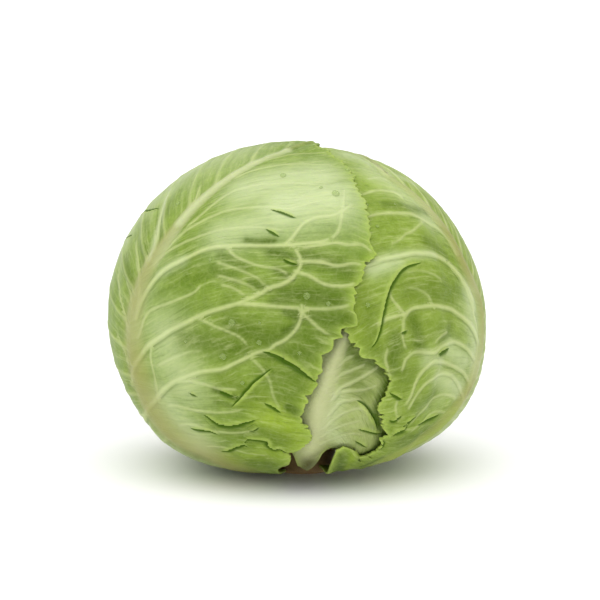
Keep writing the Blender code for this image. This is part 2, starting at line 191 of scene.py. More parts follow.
def globe(bearing, angle):
    """The direction at an angle from the stem. Bearing 0 is the front, 90 the viewer's right."""
    turn, tilt = math.radians(bearing), math.radians(angle)
    outward = math.cos(turn) * POLE_FRONT + math.sin(turn) * POLE_RIGHT
    return math.cos(tilt) * STEM_POLE + math.sin(tilt) * outward


def beside(direction, right, back):
    """A direction a little to the right of another and behind it."""
    return unit(direction + np.array([right, back, 0.0]))


def catmull_rom(padded, places):
    """Points on the curve through padded[1:-1], at places counted from its first point."""
    start = np.clip(np.floor(places).astype(int), 0, len(padded) - 4)
    t = (places - start).reshape((-1,) + (1,) * (padded.ndim - 1))
    a, b, c, d = (padded[start + k] for k in range(4))
    return 0.5 * (2 * b + (c - a) * t + (2 * a - 5 * b + 4 * c - d) * t**2 + (3 * b - a - 3 * c + d) * t**3)


def resampled(values, count):
    """Values along the first axis, brought to another count on a smooth curve."""
    padded = np.concatenate([[2 * values[0] - values[1]], values, [2 * values[-1] - values[-2]]])
    return catmull_rom(padded, np.linspace(0, len(values) - 1, count))


def along(points, count):
    """Directions evenly spaced on a smooth line through the given ones, first and last included."""
    points = np.asarray(points, float)
    if len(points) == 2:
        share = np.linspace(0, 1, count)[:, None]
        return unit(points[0] * (1 - share) + points[1] * share)
    fine = resampled(points, 24 * len(points) + 3 * count)
    length = lengths(fine)
    return unit(by_place(np.linspace(0, length[-1], count), length, fine))


def lengths(points):
    """How far along a line of points each of them lies."""
    return np.concatenate([[0], np.cumsum(np.linalg.norm(np.diff(points, axis=0), axis=1))])


def by_place(places, known, points):
    """Points at places along a line whose own points lie at known ones."""
    return np.stack([np.interp(places, known, points[:, k]) for k in range(3)], axis=1)


def bowed(start, end, forward, bow):
    """A side vein by rule: it leaves start, leans forward by bow and ends at end."""
    share = np.linspace(0, 1, 7)[:, None]
    middle = unit(start + end) + forward * bow
    return unit(start * (1 - share) ** 2 + 2 * middle * share * (1 - share) + end * share**2)


def waves(place):
    """An uneven wave between -1 and 1 that does not repeat."""
    return (np.sin(place) + np.sin(2.27 * place + 1.3) + np.sin(0.61 * place + 4)) / 3


def bump(distance):
    """1 at 0, falling smoothly to 0 at 1."""
    return np.cos(np.clip(distance, 0, 1) * math.pi / 2) ** 2


def ramp(values, low, high):
    """0 at low, 1 at high, smooth between them."""
    t = np.clip((values - low) / (high - low), 0, 1)
    return t * t * (3 - 2 * t)


# Lines drawn on a leaf


class Line:
    """A vein or a crease: a line on the head with a width, a height and a strength of colour."""

    SPACING = 0.0006
    TAPER = 0.35

    def __init__(self, points, width, height, strength=1.0):
        points = np.asarray(points, float)
        length = np.linalg.norm(np.diff(points, axis=0), axis=1).sum() * HALF_DEPTH
        self.points = along(points, max(4, int(length / self.SPACING)))
        self.tangents = unit(np.gradient(self.points, axis=0))
        self.spacing = length / (len(self.points) - 1)
        self.width, self.height, self.strength = width, height, strength

    def measure(self, directions, reach):
        """Which directions are within reach of the line, their distance, side and share along it."""
        centre = unit(self.points.mean(axis=0))
        span = (self.points @ centre).min()
        limit = math.cos(min(math.acos(np.clip(span, -1, 1)) + reach / HALF_DEPTH, math.pi))
        near = np.flatnonzero(directions @ centre > limit)
        closest = (directions[near] @ self.points.T).argmax(axis=1)
        offset = (directions[near] - self.points[closest]) * head_radius(directions[near])[:, None]
        tangent = self.tangents[closest]
        forward = (offset * tangent).sum(axis=1)
        offset = offset - np.clip(forward, -self.spacing, self.spacing)[:, None] * tangent
        side = np.sign((np.cross(tangent, self.points[closest]) * offset).sum(axis=1))
        distance = np.linalg.norm(offset, axis=1)
        kept = distance < reach
        return near[kept], distance[kept], side[kept], closest[kept] / (len(self.points) - 1)

    def fade(self, share):
        """Width left at a share along the line, less towards its end."""
        return 1 - (1 - self.TAPER) * share

    def ends(self, share):
        """0 at the line's two ends and 1 from four of its points on."""
        return np.clip(np.minimum(share, 1 - share) * len(self.points) / 4, 0, 1)


def drawn(width, height, strength, *places, level):
    """A vein through places in the drawing; width and height in millimetres."""
    return Line(seen(*places, level=level), width * MM, height * MM, strength)


def stroke(width, strength, *places, level):
    """A broad soft stroke of colour through places in the drawing; width in millimetres."""
    return drawn(width, 0.0, strength, *places, level=level)


def sheen(width, strength, *places):
    """A broad soft stroke of colour through places on the globe; width in millimetres."""
    return Line([globe(*place) for place in places], width * MM, 0.0, strength)


def crease(lift, reach, *places, level):
    """A fold whose viewer's-right side, looking along it, stands over the other side."""
    return Line(seen(*places, level=level), reach * MM, lift * MM, 1.0)


# Leaves


class Leaf:
    """A leaf as cross lines from base to tip. Each has a left and a right line from the midrib out."""

    def __init__(self, name, level, left, right, left_margin=None, right_margin=None, base_lift=0.0,
                 edge_lift=0.0, free_edge=1.0):
        self.name = name
        self.level = -level * LEVEL_STEP
        self.base_lift = base_lift
        self.edge_lift = edge_lift
        self.free_edge = free_edge
        self.lines = (left, right)
        self.margins = (left_margin, right_margin)
        self.count = len(left)
        self.veins, self.creases = [], []
        # strokes of colour: painted sheen over a paler tone, darker green with painted shade, and yellower
        # green that is painted shade on the front leaf
        self.strokes = {"bloom": [], "lush": [], "fresh": []}
        self.shadow_side = 1  # the side of the veins that has the darker line
        self.rib_width = np.linspace(5.5, 1.0, self.count)
        self.rib_height = 0.0019

    def grid(self, rows, left_columns, right_columns):
        """Directions, rows from base to tip and columns from the left edge to the right."""
        left = self.half(0, rows, left_columns)
        right = self.half(1, rows, right_columns)
        return in_front_of_stem(unit(np.concatenate([left[:, :0:-1], right], axis=1)))

    def half(self, side, rows, columns):
        """The grid of one half of the leaf, columns from the midrib out."""
        points = np.array([along(line, columns + 1) for line in self.lines[side]])
        grid = unit(resampled(points, rows))
        row = np.linspace(0, self.count - 1, rows)
        outward = unit(grid[:, -1] - grid[:, -2])
        margin = self.margins[side]
        if margin is None:
            target = grid[:, -1] + (RAGGED_DEPTH * (waves(2.3 * row) - 1))[:, None] * outward
        else:
            edge = along(margin, EDGE_POINTS)
            nearest = (points[:, -1] @ edge.T).argmax(axis=1)
            nearest[0], nearest[-1] = 0, EDGE_POINTS - 1
            place = np.interp(row, np.arange(self.count), np.maximum.accumulate(nearest))
            target = by_place(place, np.arange(EDGE_POINTS), edge)
        if rows > TOOTHED_ROWS:
            teeth = 0.010 * waves(9.7 * row + side)
            teeth = teeth - 0.028 * np.abs(waves(17 * row)) * (1 + waves(5.1 * row))
            target = target + (teeth * np.clip(row - 0.8, 0, 1))[:, None] * outward
        pull = np.linspace(0, 1, columns + 1) ** MARGIN_PULL
        return grid + (target - grid[:, -1])[:, None] * pull[:, None]

    def midrib(self):
        """The midrib as a line on the head."""
        return Line([line[0] for line in self.lines[1]], 0.004, self.rib_height)

    def rib_half_width(self, share):
        """Half the midrib's width at a share of its length; rib_width gives it in mm at each cross line."""
        points = np.array([line[0] for line in self.lines[1]])
        reached = lengths(points)
        return np.interp(share, reached / reached[-1], self.rib_width) * MM


def in_front_of_stem(directions):
    """Directions moved away from the stem where they would cross it."""
    lean = directions @ STEM_POLE
    least = math.radians(LEAST_STEM_ANGLE)
    outward = unit(directions - lean[..., None] * STEM_POLE)
    moved = math.cos(least) * STEM_POLE + math.sin(least) * outward
    return np.where((lean > math.cos(least))[..., None], moved, directions)


def midrib_heading(midrib, k):
    """The way to the tip at the midrib's point k."""
    return unit(midrib[min(k + 1, len(midrib) - 1)] - midrib[max(k - 1, 0)])


def ruled_half(midrib, edge, bow):
    """The side veins of a half whose edge is given, one for each point of the midrib."""
    return [bowed(m, e, midrib_heading(midrib, k), bow) for k, (m, e) in enumerate(zip(midrib, edge))]


def ruled_leaf(name, level, bearing, reach, span, count=10):
    """A leaf that nothing in front shows: its midrib runs straight from the stem over the head."""
    share = np.linspace(0, 1, count)
    angle = LEAST_STEM_ANGLE + (reach - LEAST_STEM_ANGLE) * share
    midrib = [globe(bearing, a) for a in angle]
    width = span * np.interp(share, [0, 0.15, 0.45, 0.75, 0.92, 1], [0.64, 0.76, 1, 0.98, 0.7, 0.25])
    lift = np.interp(share, [0, 0.5, 0.85, 1], [1, 16, 10, -1])
    right = [globe(bearing + w, a + up) for w, a, up in zip(width, angle, lift)]
    left = [globe(bearing - w, a + up) for w, a, up in zip(width, angle, lift)]
    leaf = Leaf(name, level, ruled_half(midrib, left, 0.06), ruled_half(midrib, right, 0.06))
    leaf.veins = ruled_veins(leaf, 0, 3) + ruled_veins(leaf, 1, 11)
    # a broad painted sheen over the leaf
    leaf.strokes["bloom"] = [sheen(25, 0.35, (bearing + 15, 40), (bearing - 15, 100))]
    return leaf


def ruled_veins(leaf, side, seed, strength=0.6):
    """Veins along the cross lines of one half, with thinner ones between them and forks near the edge."""
    random = np.random.default_rng(seed)
    veins = []
    lines = leaf.lines[side]
    for k in range(1, leaf.count - 1):
        line = along(lines[k], 24)
        upper = along(lines[k + 1], 24)
        veins.append(Line(line, 0.0012, 0.0009, strength))
        between = unit(line * 0.5 + upper * 0.5)[: random.integers(12, 20)]
        veins.append(Line(between, 0.0008, 0.0003, 0.4 * strength))
        fork = random.integers(8, 13)
        lean = np.linspace(0, 0.42, 24 - fork)[:, None]
        forked = unit(line[fork:] * (1 - lean) + upper[fork:] * lean)
        veins.append(Line(forked, 0.0009, 0.0005, 0.6 * strength))
    return veins


def left_leaf():
    """The outermost leaf. Its midrib climbs the left side and its right half covers the front."""
    at, edge_at = partial(seen, level=LEFT_LEVEL), partial(seen, level=LEFT_EDGE_LEVEL)
    right = [
        [globe(-58, LEAST_STEM_ANGLE), globe(-42, LEAST_STEM_ANGLE), globe(-25, LEAST_STEM_ANGLE)],
        at((222, 461), (248, 466), (270, 466), (291, 462)),
        at((175, 435), (205, 443), (250, 443), (302, 445)),
        at((155, 412), (190, 420), (240, 420), (311, 431)),
        at((146, 393), (180, 398), (230, 398), (270, 397), (304, 404)),
        at((140, 377), (165, 385), (195, 376), (225, 369), (252, 359), (285, 362), (320, 375)),
        at((135, 352), (155, 342), (175, 330), (200, 318), (230, 308), (280, 307), (338, 308),
            (355, 312)),
        at((134, 326), (150, 316), (175, 304), (200, 291), (240, 282), (300, 276), (330, 278),
            (362, 277)),
        at((139, 296), (160, 272), (180, 261), (200, 252), (222, 246), (260, 246), (300, 247), (350, 248),
            (373, 256)),
        at((150, 266), (175, 245), (205, 231), (245, 221), (290, 216), (340, 214), (369, 220)),
        at((167, 241), (200, 216), (240, 203), (300, 197), (362, 198)),
        at((190, 212), (222, 196), (262, 185), (310, 180), (356, 180)),
        at((215, 189), (245, 178), (290, 170), (325, 168), (348, 165)),
        at((250, 166), (280, 160), (310, 157), (336, 155)),
        at((285, 152), (305, 149), (326, 147)),
        at((312, 142), (315, 142), (318, 141)),
    ]
    margin = [globe(-25, LEAST_STEM_ANGLE)] + edge_at(
        (276, 471), (280, 466), (290, 462), (291, 452), (297, 450), (306, 445), (313, 437), (312, 432),
        (308, 426), (303, 421), (304, 410), (309, 402), (312, 393), (316, 386), (321, 375), (324, 367),
        (327, 358), (330, 351), (335, 349), (340, 344), (343, 337), (339, 331), (345, 328), (355, 326),
        (354, 314), (355, 305), (357, 298), (356, 290), (357, 285), (362, 280), (366, 268), (370, 263),
        (374, 258), (375, 253), (371, 247), (369, 240), (370, 230), (369, 218), (368, 210), (365, 202),
        (361, 196), (357, 189), (355, 182), (356, 176), (352, 169), (345, 162), (335, 154), (328, 148),
        (318, 145), (318.5, 140), (316, 139),
    )
    midrib = [line[0] for line in right]
    bearings = [-90, -105, -120, -132, -140, -146, -150, -152, -154, -156, -158, -162, -168, -178, -190]
    angles = [18, 34, 52, 66, 78, 90, 101, 111, 121, 130, 138, 145, 151, 157, 164]
    edge = [globe(b, a) for b, a in zip(bearings, angles)] + [beside(midrib[-1], -0.02, 0.05)]
    left = ruled_half(midrib, edge, 0.05)
    leaf = Leaf("leaf_left", 0, left, right, right_margin=margin, edge_lift=0.0009, free_edge=0.98)
    leaf.veins = ruled_veins(leaf, 0, 5, 0.3) + left_leaf_veins()
    leaf.creases = left_leaf_creases()
    leaf.strokes = left_leaf_strokes()
    leaf.rib_width = [7.0, 7.5, 7.5, 7.0, 6.6, 6.2, 5.6, 5.0, 4.2, 3.2, 2.5, 2.1, 1.8, 1.4, 1.0, 0.8]
    return leaf


def left_leaf_veins():
    """The side veins that show on the front of the left leaf."""
    vein = partial(drawn, level=LEFT_LEVEL)
    return [
        vein(1.5, 1.1, 1.0, (137, 322), (143, 300), (152, 285), (160, 275), (170, 267), (180, 262),
            (190, 257), (205, 250), (220, 247), (240, 246), (270, 246), (300, 245), (318, 244),
            (330, 242)),
        vein(0.8, 0.4, 0.45, (328, 242), (336, 236), (340, 222), (342, 205), (343, 192)),
        vein(1.1, 0.7, 0.7, (285, 245), (293, 238), (303, 226), (315, 221), (335, 218), (352, 208)),
        vein(0.9, 0.5, 0.6, (300, 249), (320, 247), (335, 246), (345, 248), (360, 249), (371, 258)),
        vein(0.9, 0.5, 0.6, (139, 340), (145, 320), (150, 312), (157, 308), (170, 303), (185, 297),
            (195, 292), (203, 284)),
        vein(1.7, 1.2, 1.0, (134, 385), (139, 362), (148, 347), (160, 338), (170, 331), (180, 326),
            (190, 321), (200, 316), (210, 312), (220, 309), (230, 306), (240, 303), (250, 299),
            (260, 294), (270, 288), (280, 285), (290, 280), (295, 275), (300, 268), (301, 261),
            (298, 254), (294, 248)),
        vein(1.3, 0.8, 0.8, (240, 304), (260, 305), (280, 307), (300, 308), (320, 309), (338, 308),
            (350, 305)),
        vein(1.0, 0.6, 0.7, (296, 272), (310, 277), (320, 283), (330, 287), (345, 287), (355, 284)),
        vein(1.0, 0.6, 0.7, (300, 262), (320, 264), (335, 268), (350, 266), (362, 268)),
        vein(0.8, 0.5, 0.5, (200, 319), (215, 326), (225, 330), (240, 337), (250, 347)),
        vein(1.7, 1.2, 1.0, (147, 425), (153, 404), (163, 391), (175, 381), (185, 377), (200, 372),
            (215, 370), (225, 368), (235, 363), (250, 356), (258, 352), (270, 349), (275, 345),
            (283, 341), (292, 334), (297, 328), (301, 318), (302, 306)),
        vein(0.7, 0.4, 0.5, (228, 249), (236, 257), (258, 266), (280, 270), (290, 277)),
        vein(2.0, 0.8, 1.0, (147, 270), (150, 258), (157, 245), (161, 217), (170, 193)),
        vein(1.2, 0.8, 0.8, (141, 300), (142, 285), (139, 263), (137, 240)),
        vein(1.2, 0.8, 0.8, (134, 335), (127, 316), (120, 290), (120, 268)),
        vein(0.8, 0.4, 0.5, (136, 305), (132, 293), (127, 278)),
        vein(0.8, 0.4, 0.5, (190, 212), (196, 200), (202, 184)),
        vein(1.0, 0.6, 0.6, (135, 372), (126, 350), (117, 330)),
        vein(0.7, 0.4, 0.4, (215, 262), (230, 267), (255, 277), (268, 288)),
        vein(0.7, 0.4, 0.4, (215, 275), (230, 279), (250, 286), (258, 292)),
        vein(0.6, 0.3, 0.4, (218, 284), (235, 289), (248, 298)),
        vein(0.8, 0.4, 0.5, (300, 310), (312, 322), (322, 330), (335, 340)),
        vein(0.8, 0.4, 0.5, (178, 381), (190, 381), (205, 384), (220, 388), (240, 389)),
        vein(0.8, 0.4, 0.4, (158, 366), (165, 362), (178, 356), (190, 352), (205, 350)),
        vein(0.8, 0.4, 0.5, (186, 230), (205, 213), (222, 199), (240, 190), (265, 185), (300, 184),
            (330, 188)),
        vein(0.9, 0.5, 0.5, (157, 262), (172, 245), (188, 231), (205, 221), (230, 211), (260, 208),
            (292, 209), (325, 204)),
        vein(0.7, 0.4, 0.45, (232, 180), (250, 173), (275, 167), (305, 165), (335, 168)),
        vein(0.7, 0.4, 0.4, (263, 162), (285, 157), (310, 155), (330, 156)),
        vein(0.8, 0.4, 0.45, (150, 272), (163, 256), (178, 247), (200, 237), (225, 230), (252, 228),
            (285, 231)),
        vein(0.8, 0.4, 0.5, (166, 405), (180, 406), (200, 410), (222, 412), (245, 409)),
        vein(0.8, 0.4, 0.5, (178, 424), (195, 424), (215, 430), (238, 432), (262, 428)),
        vein(0.7, 0.3, 0.4, (205, 445), (225, 446), (248, 452), (270, 455)),
        vein(0.9, 0.4, 0.35, (250, 357), (262, 368), (270, 381), (274, 396), (283, 410)),
        vein(0.8, 0.4, 0.5, (152, 345), (152, 360), (156, 378), (160, 400)),
    ]


def left_leaf_creases():
    """Folds of the left leaf: where it stands over itself, with a shadow beside it."""
    fold = partial(crease, level=LEFT_LEVEL)
    return [
        fold(1.8, 3.4, (317, 381), (308, 373), (297, 365), (285, 358), (271, 352), (262, 351)),
        fold(0.9, 2.0, (232, 407), (240, 400), (250, 389), (255, 383), (265, 375), (273, 368)),
        fold(1.2, 3.0, (257, 418), (247, 420), (235, 423), (224, 423), (218, 421), (210, 416),
            (203, 413)),
        fold(0.8, 2.4, (220, 434), (210, 429), (200, 428), (190, 426)),
        fold(1.0, 2.6, (250, 446), (245, 443), (238, 444), (230, 448), (220, 450)),
        fold(1.2, 2.8, (289, 449), (281, 445), (275, 446), (270, 444), (268, 439), (250, 437),
            (245, 440)),
        fold(0.5, 1.7, (299, 264), (290, 262), (282, 259)),
        fold(0.7, 2.0, (298, 220), (288, 215), (280, 212), (270, 210)),
        fold(0.5, 1.7, (281, 237), (272, 232), (265, 229)),
        fold(0.8, 2.4, (284, 411), (274, 405), (264, 401)),
        fold(0.6, 2.4, (236, 396), (227, 392), (218, 389)),
        fold(0.5, 1.8, (200, 396), (195, 393), (189, 391)),
        fold(0.7, 1.8, (143, 215), (150, 213), (160, 210)),
        fold(0.6, 1.6, (120, 245), (127, 241), (134, 237)),
        fold(0.5, 1.6, (259, 425), (254, 429), (248, 430)),
    ]


def left_leaf_strokes():
    """Where the left leaf is paler with a painted sheen, where it is darker green with painted shade in its
    hollows and pockets, and where it is yellower green.
    """
    soft = partial(stroke, level=LEFT_LEVEL)
    # painted sheen where light falls on the top and the sides, over a paler whitish tone
    bloom = [
        soft(15, 0.9, (285, 205), (325, 200)), soft(12, 0.8, (250, 190), (320, 178)),
        soft(9, 0.6, (225, 235), (262, 222)), soft(12, 0.55, (165, 335), (185, 385)),
        soft(9, 0.5, (168, 398), (200, 438)), soft(8, 0.25, (140, 330), (160, 262)),
        soft(2.0, 0.7, (152, 258), (161, 222), (167, 198)), soft(3, 0.45, (158, 262), (176, 234)),
        soft(2.5, 0.9, (181, 223), (190, 212), (215, 189), (250, 166), (285, 152)),
        soft(3, 0.5, (160, 274), (182, 262)), soft(8, 0.5, (252, 226), (284, 218)),
        sheen(22, 0.4, (-92, 55), (-98, 80), (-104, 110)), sheen(10, 0.5, (-76, 62), (-60, 42)),
        soft(9, 0.55, (166, 196), (200, 168)), sheen(20, 0.45, (-86, 116), (-76, 138), (-55, 156)),
        sheen(25, 0.25, (-135, 60), (-140, 120)),
    ]
    # darker green patches, and painted shade in the hollows and pockets of the blade
    lush = [
        soft(3.5, 0.4, (170, 205), (160, 232)), soft(3.5, 0.4, (146, 225), (147, 255)),
        soft(3, 0.6, (128, 258), (133, 285)), soft(5, 0.3, (215, 445), (245, 442)),
        soft(1.6, 1.0, (248, 241), (260, 242), (272, 241)),
        soft(2.4, 1.0, (272, 253), (284, 256), (294, 262)), soft(1.8, 1.0, (278, 271), (291, 278)),
        soft(2.0, 0.9, (252, 283), (268, 289)), soft(2.5, 0.7, (222, 256), (245, 268)),
        soft(2.5, 0.6, (215, 270), (238, 282)), soft(5.0, 0.9, (286, 295), (312, 296), (334, 302)),
        soft(4.0, 0.8, (308, 258), (345, 272)), soft(2.4, 1.4, (289, 312), (297, 315)),
        soft(2.0, 1.2, (286, 330), (295, 327)), soft(3, 0.8, (276, 301), (300, 299)),
        soft(1.6, 1.0, (293, 329), (299, 322)), soft(5.0, 0.9, (314, 318), (332, 320), (348, 318)),
        soft(6.0, 0.8, (232, 326), (278, 340)), soft(5.0, 0.7, (186, 338), (245, 348)),
        soft(6.0, 0.8, (285, 354), (318, 352)), soft(1.5, 1.3, (217, 390), (233, 396)),
        soft(4, 0.4, (240, 392), (255, 400)), soft(1.4, 0.6, (219, 401), (228, 403)),
        soft(2.2, 1.3, (291, 406), (299, 410)), soft(2.4, 0.8, (262, 355), (282, 360), (300, 368)),
        soft(5.0, 0.3, (205, 268), (180, 275)), soft(5.0, 0.5, (230, 430), (285, 436)),
        soft(5.0, 0.5, (225, 380), (262, 398)), soft(5.0, 0.6, (280, 395), (304, 388)),
        soft(7.0, 0.6, (268, 334), (335, 336)), soft(6.0, 0.6, (270, 374), (316, 376)),
        soft(6.0, 0.6, (195, 452), (270, 462)),
    ]
    # yellower green of the frilled lower blade and beside the edge
    fresh = [
        soft(6, 1.0, (270, 418), (290, 424), (300, 440)), soft(5, 0.8, (262, 405), (282, 412)),
        soft(6, 0.6, (240, 458), (262, 454), (285, 452)),
        soft(3, 0.7, (318, 372), (308, 395), (302, 416)),
        soft(3, 0.5, (368, 262), (358, 290), (345, 330)), soft(5, 0.4, (215, 375), (245, 395)),
    ]
    return {"bloom": bloom, "lush": lush, "fresh": fresh}


def right_leaf_strokes():
    """Where the right leaf is paler with a painted sheen, where it is darker green with painted shade in
    its hollows and under its edges, and where it is yellower green.
    """
    soft = partial(stroke, level=RIGHT_LEVEL)
    # painted sheen where light falls on the top and the sides, over a paler whitish tone
    bloom = [
        sheen(10, 0.5, (72, 58), (55, 40)), sheen(24, 0.45, (92, 60), (100, 95), (104, 125), (108, 150)),
        soft(9, 0.6, (375, 175), (425, 215)), soft(8, 0.6, (470, 300), (474, 360)),
        soft(8, 0.6, (350, 157), (384, 172)), soft(4, 0.7, (372, 270), (394, 262)),
        soft(4, 0.5, (385, 172), (412, 184)), soft(2.5, 0.5, (395, 258), (430, 256)),
        soft(5, 0.6, (450, 350), (464, 362)), soft(5, 0.6, (438, 378), (458, 388)),
        soft(4, 0.5, (425, 358), (440, 362)), soft(4, 0.2, (420, 405), (440, 400)),
    ]
    # yellower green
    fresh = [
        soft(5, 0.5, (352, 262), (352, 300), (356, 335)),
        soft(5, 0.6, (385, 455), (420, 440), (450, 415)), soft(7, 0.5, (372, 182), (400, 195)),
        soft(2, 0.8, (353, 447), (345, 463)),
    ]
    # darker green patches, and painted shade in hollows, beside folds and where the leaf tucks under
    lush = [
        soft(2.4, 0.6, (384, 208), (424, 212)), soft(3, 0.6, (424, 244), (444, 255)),
        soft(3, 1.0, (338, 451), (337, 467)), soft(2, 0.8, (362, 462), (378, 455)),
        soft(6, 0.4, (405, 289), (452, 294)), soft(4, 0.8, (410, 322), (416, 345)),
        soft(5, 0.5, (362, 300), (368, 335)), soft(5, 0.3, (412, 335), (436, 330)),
        soft(5, 0.5, (430, 395), (415, 405)), soft(3, 0.6, (448, 328), (440, 338)),
        soft(5, 0.8, (392, 340), (386, 372)), soft(5, 0.6, (400, 437), (440, 425)),
        soft(6, 0.5, (364, 344), (400, 372)),
    ]
    return {"bloom": bloom, "lush": lush, "fresh": fresh}


def right_leaf():
    """The second leaf. Its midrib climbs the right side and its left half tucks under the left leaf."""
    at, edge_at = partial(seen, level=RIGHT_LEVEL), partial(seen, level=RIGHT_EDGE_LEVEL)
    left = [
        [globe(62, LEAST_STEM_ANGLE), globe(43, LEAST_STEM_ANGLE), globe(24, LEAST_STEM_ANGLE)],
        at((366, 466), (350, 462), (337, 455)),
        at((392, 455), (376, 459), (356, 462)),
        at((420, 441), (398, 448), (370, 451)),
        at((446, 419), (430, 428), (405, 437), (381, 434)),
        at((462, 398), (445, 404), (420, 412), (400, 419), (378, 418)),
        at((471, 381), (455, 379), (435, 385), (410, 395), (378, 402)),
        at((477, 362), (465, 366), (450, 365), (433, 361), (417, 373), (387, 381)),
        at((480, 345), (468, 347), (447, 343), (425, 351), (407, 352), (374, 361)),
        at((481, 325), (470, 320), (455, 310), (435, 306), (410, 310), (385, 319), (350, 341)),
        at((479, 303), (465, 292), (445, 285), (415, 283), (390, 290), (341, 306)),
        at((472, 284), (460, 272), (445, 264), (425, 257), (400, 257), (375, 264), (337, 274)),
        at((462, 262), (450, 247), (430, 240), (400, 236), (370, 240), (333, 245)),
        at((450, 238), (435, 224), (415, 217), (390, 216), (360, 218), (328, 220)),
        at((433, 215), (415, 204), (390, 196), (360, 194), (326, 197)),
        at((410, 192), (390, 182), (365, 176), (325, 178)),
        at((385, 173), (365, 166), (325, 162)),
        [beside(place, 0.0, 0.12) for place in at((354, 153), (340, 150), (325, 149))],
    ]
    margin = [globe(24, LEAST_STEM_ANGLE)] + edge_at(
        (328, 468), (331, 460), (333, 453), (336, 448), (342, 446), (349, 449), (354, 456), (363, 457),
        (373, 451), (378, 445), (380, 437), (383, 432), (381, 426), (378, 418), (376, 410), (378, 402),
        (382, 396), (386, 389), (388, 383), (387, 378), (384, 374), (381, 369), (377, 366), (373, 360),
        (367, 358), (360, 357), (356, 350), (351, 345), (345, 338), (341, 322), (341, 306), (338, 288),
        (337, 274), (333, 245), (328, 220), (326, 197), (325, 178), (325, 162),
    ) + [left[-1][-1]]
    midrib = [line[0] for line in left]
    bearings = [88, 96, 108, 121, 132, 140, 146, 150, 152, 154, 156, 158, 162, 167, 173, 180, 190]
    angles = [18, 26, 38, 51, 64, 76, 87, 97, 106, 115, 123, 131, 138, 145, 152, 159, 166]
    edge = [globe(b, a) for b, a in zip(bearings, angles)] + [beside(midrib[-1], 0.03, 0.07)]
    right = ruled_half(midrib, edge, 0.05)
    leaf = Leaf("leaf_right", 1, left, right, left_margin=margin, edge_lift=0.0020, free_edge=0.56)
    leaf.veins = ruled_veins(leaf, 1, 7) + right_leaf_veins()
    leaf.creases = right_leaf_creases()
    leaf.strokes = right_leaf_strokes()
    leaf.shadow_side = -1
    leaf.rib_width = [5.0, 5.0, 5.0, 4.8, 4.6, 4.4, 4.2, 4.0, 4.0, 3.8, 3.6, 3.4, 3.2, 3.0, 2.6, 2.0]
    leaf.rib_width += [1.4, 1.0]
    return leaf


def right_leaf_veins():
    """The side veins that show on the front of the right leaf."""
    vein = partial(drawn, level=RIGHT_LEVEL)
    return [
        vein(1.8, 0.7, 0.7, (405, 200), (395, 193), (385, 191), (375, 191), (360, 196)),
        vein(2.2, 0.9, 0.8, (458, 258), (450, 243), (440, 231), (425, 222), (410, 217), (400, 216),
            (385, 216), (372, 218), (355, 222)),
        vein(1.1, 0.5, 0.4, (422, 222), (410, 233), (402, 237), (395, 243), (385, 248)),
        vein(2.1, 1.1, 1.0, (473, 305), (468, 290), (460, 277), (450, 265), (440, 259), (430, 256),
            (420, 255), (410, 255), (400, 257), (390, 259), (380, 261), (372, 264), (362, 268)),
        vein(1.5, 1.1, 1.0, (478, 345), (474, 331), (467, 321), (458, 314), (450, 309), (440, 307),
            (430, 306), (420, 307), (410, 309), (402, 314), (395, 316), (385, 319), (372, 326)),
        vein(0.9, 0.5, 0.45, (405, 313), (401, 320), (400, 328), (399, 335), (401, 345), (405, 350)),
        vein(1.3, 0.9, 0.9, (477, 372), (475, 361), (469, 351), (462, 345), (455, 342), (448, 343),
            (440, 346), (435, 350), (430, 352), (418, 351), (410, 352), (403, 358), (400, 365),
            (398, 372)),
        vein(1.2, 0.8, 0.9, (469, 390), (468, 381), (463, 372), (455, 367), (445, 363), (435, 361),
            (430, 362), (422, 368), (416, 375), (412, 383), (408, 394), (402, 404)),
        vein(1.1, 0.7, 0.8, (460, 404), (461, 393), (457, 382), (450, 375), (440, 374), (430, 378),
            (420, 385), (412, 396), (404, 410)),
        vein(0.7, 0.4, 0.5, (447, 331), (440, 334), (435, 338), (430, 345)),
        vein(1.0, 0.6, 0.6, (456, 398), (444, 394), (430, 400), (418, 410), (405, 423)),
        vein(0.8, 0.4, 0.5, (446, 412), (434, 411), (420, 419), (404, 431)),
        vein(1.5, 0.6, 0.8, (450, 265), (458, 275), (465, 287), (470, 300), (474, 315), (477, 330),
            (477, 345), (475, 360), (471, 375), (466, 388), (460, 400), (450, 414)),
        vein(0.7, 0.4, 0.5, (402, 314), (394, 305), (388, 296), (386, 286)),
        vein(0.7, 0.4, 0.3, (430, 306), (424, 296), (414, 290), (402, 288)),
        vein(0.7, 0.4, 0.3, (440, 283), (428, 275), (414, 272), (400, 276)),
        vein(0.7, 0.4, 0.5, (390, 182), (378, 178), (366, 180)),
        vein(0.7, 0.4, 0.5, (385, 345), (382, 356), (384, 368), (390, 378)),
        vein(0.7, 0.3, 0.5, (395, 395), (392, 404), (393, 414), (396, 420)),
    ]


def right_leaf_creases():
    """Folds of the right leaf."""
    fold = partial(crease, level=RIGHT_LEVEL)
    return [
        fold(1.0, 2.5, (418, 264), (405, 267), (397, 272), (390, 281), (385, 291), (382, 301), (380, 312),
            (378, 322), (377, 330), (374, 338), (370, 344), (367, 348)),
        fold(0.9, 3.0, (405, 421), (400, 425), (392, 427), (386, 431)),
        fold(0.8, 2.6, (415, 412), (407, 416), (399, 422)),
        fold(1.0, 3.2, (440, 413), (424, 418), (413, 422)),
        fold(0.7, 2.2, (400, 397), (393, 393), (386, 389)),
        fold(0.6, 2.2, (399, 412), (393, 414), (390, 416), (384, 415)),
        fold(0.6, 3.0, (450, 347), (443, 350), (435, 354)),
        fold(0.5, 2.0, (405, 329), (400, 331), (396, 333)),
        fold(0.8, 2.0, (380, 434), (379, 440), (376, 446)),
    ]


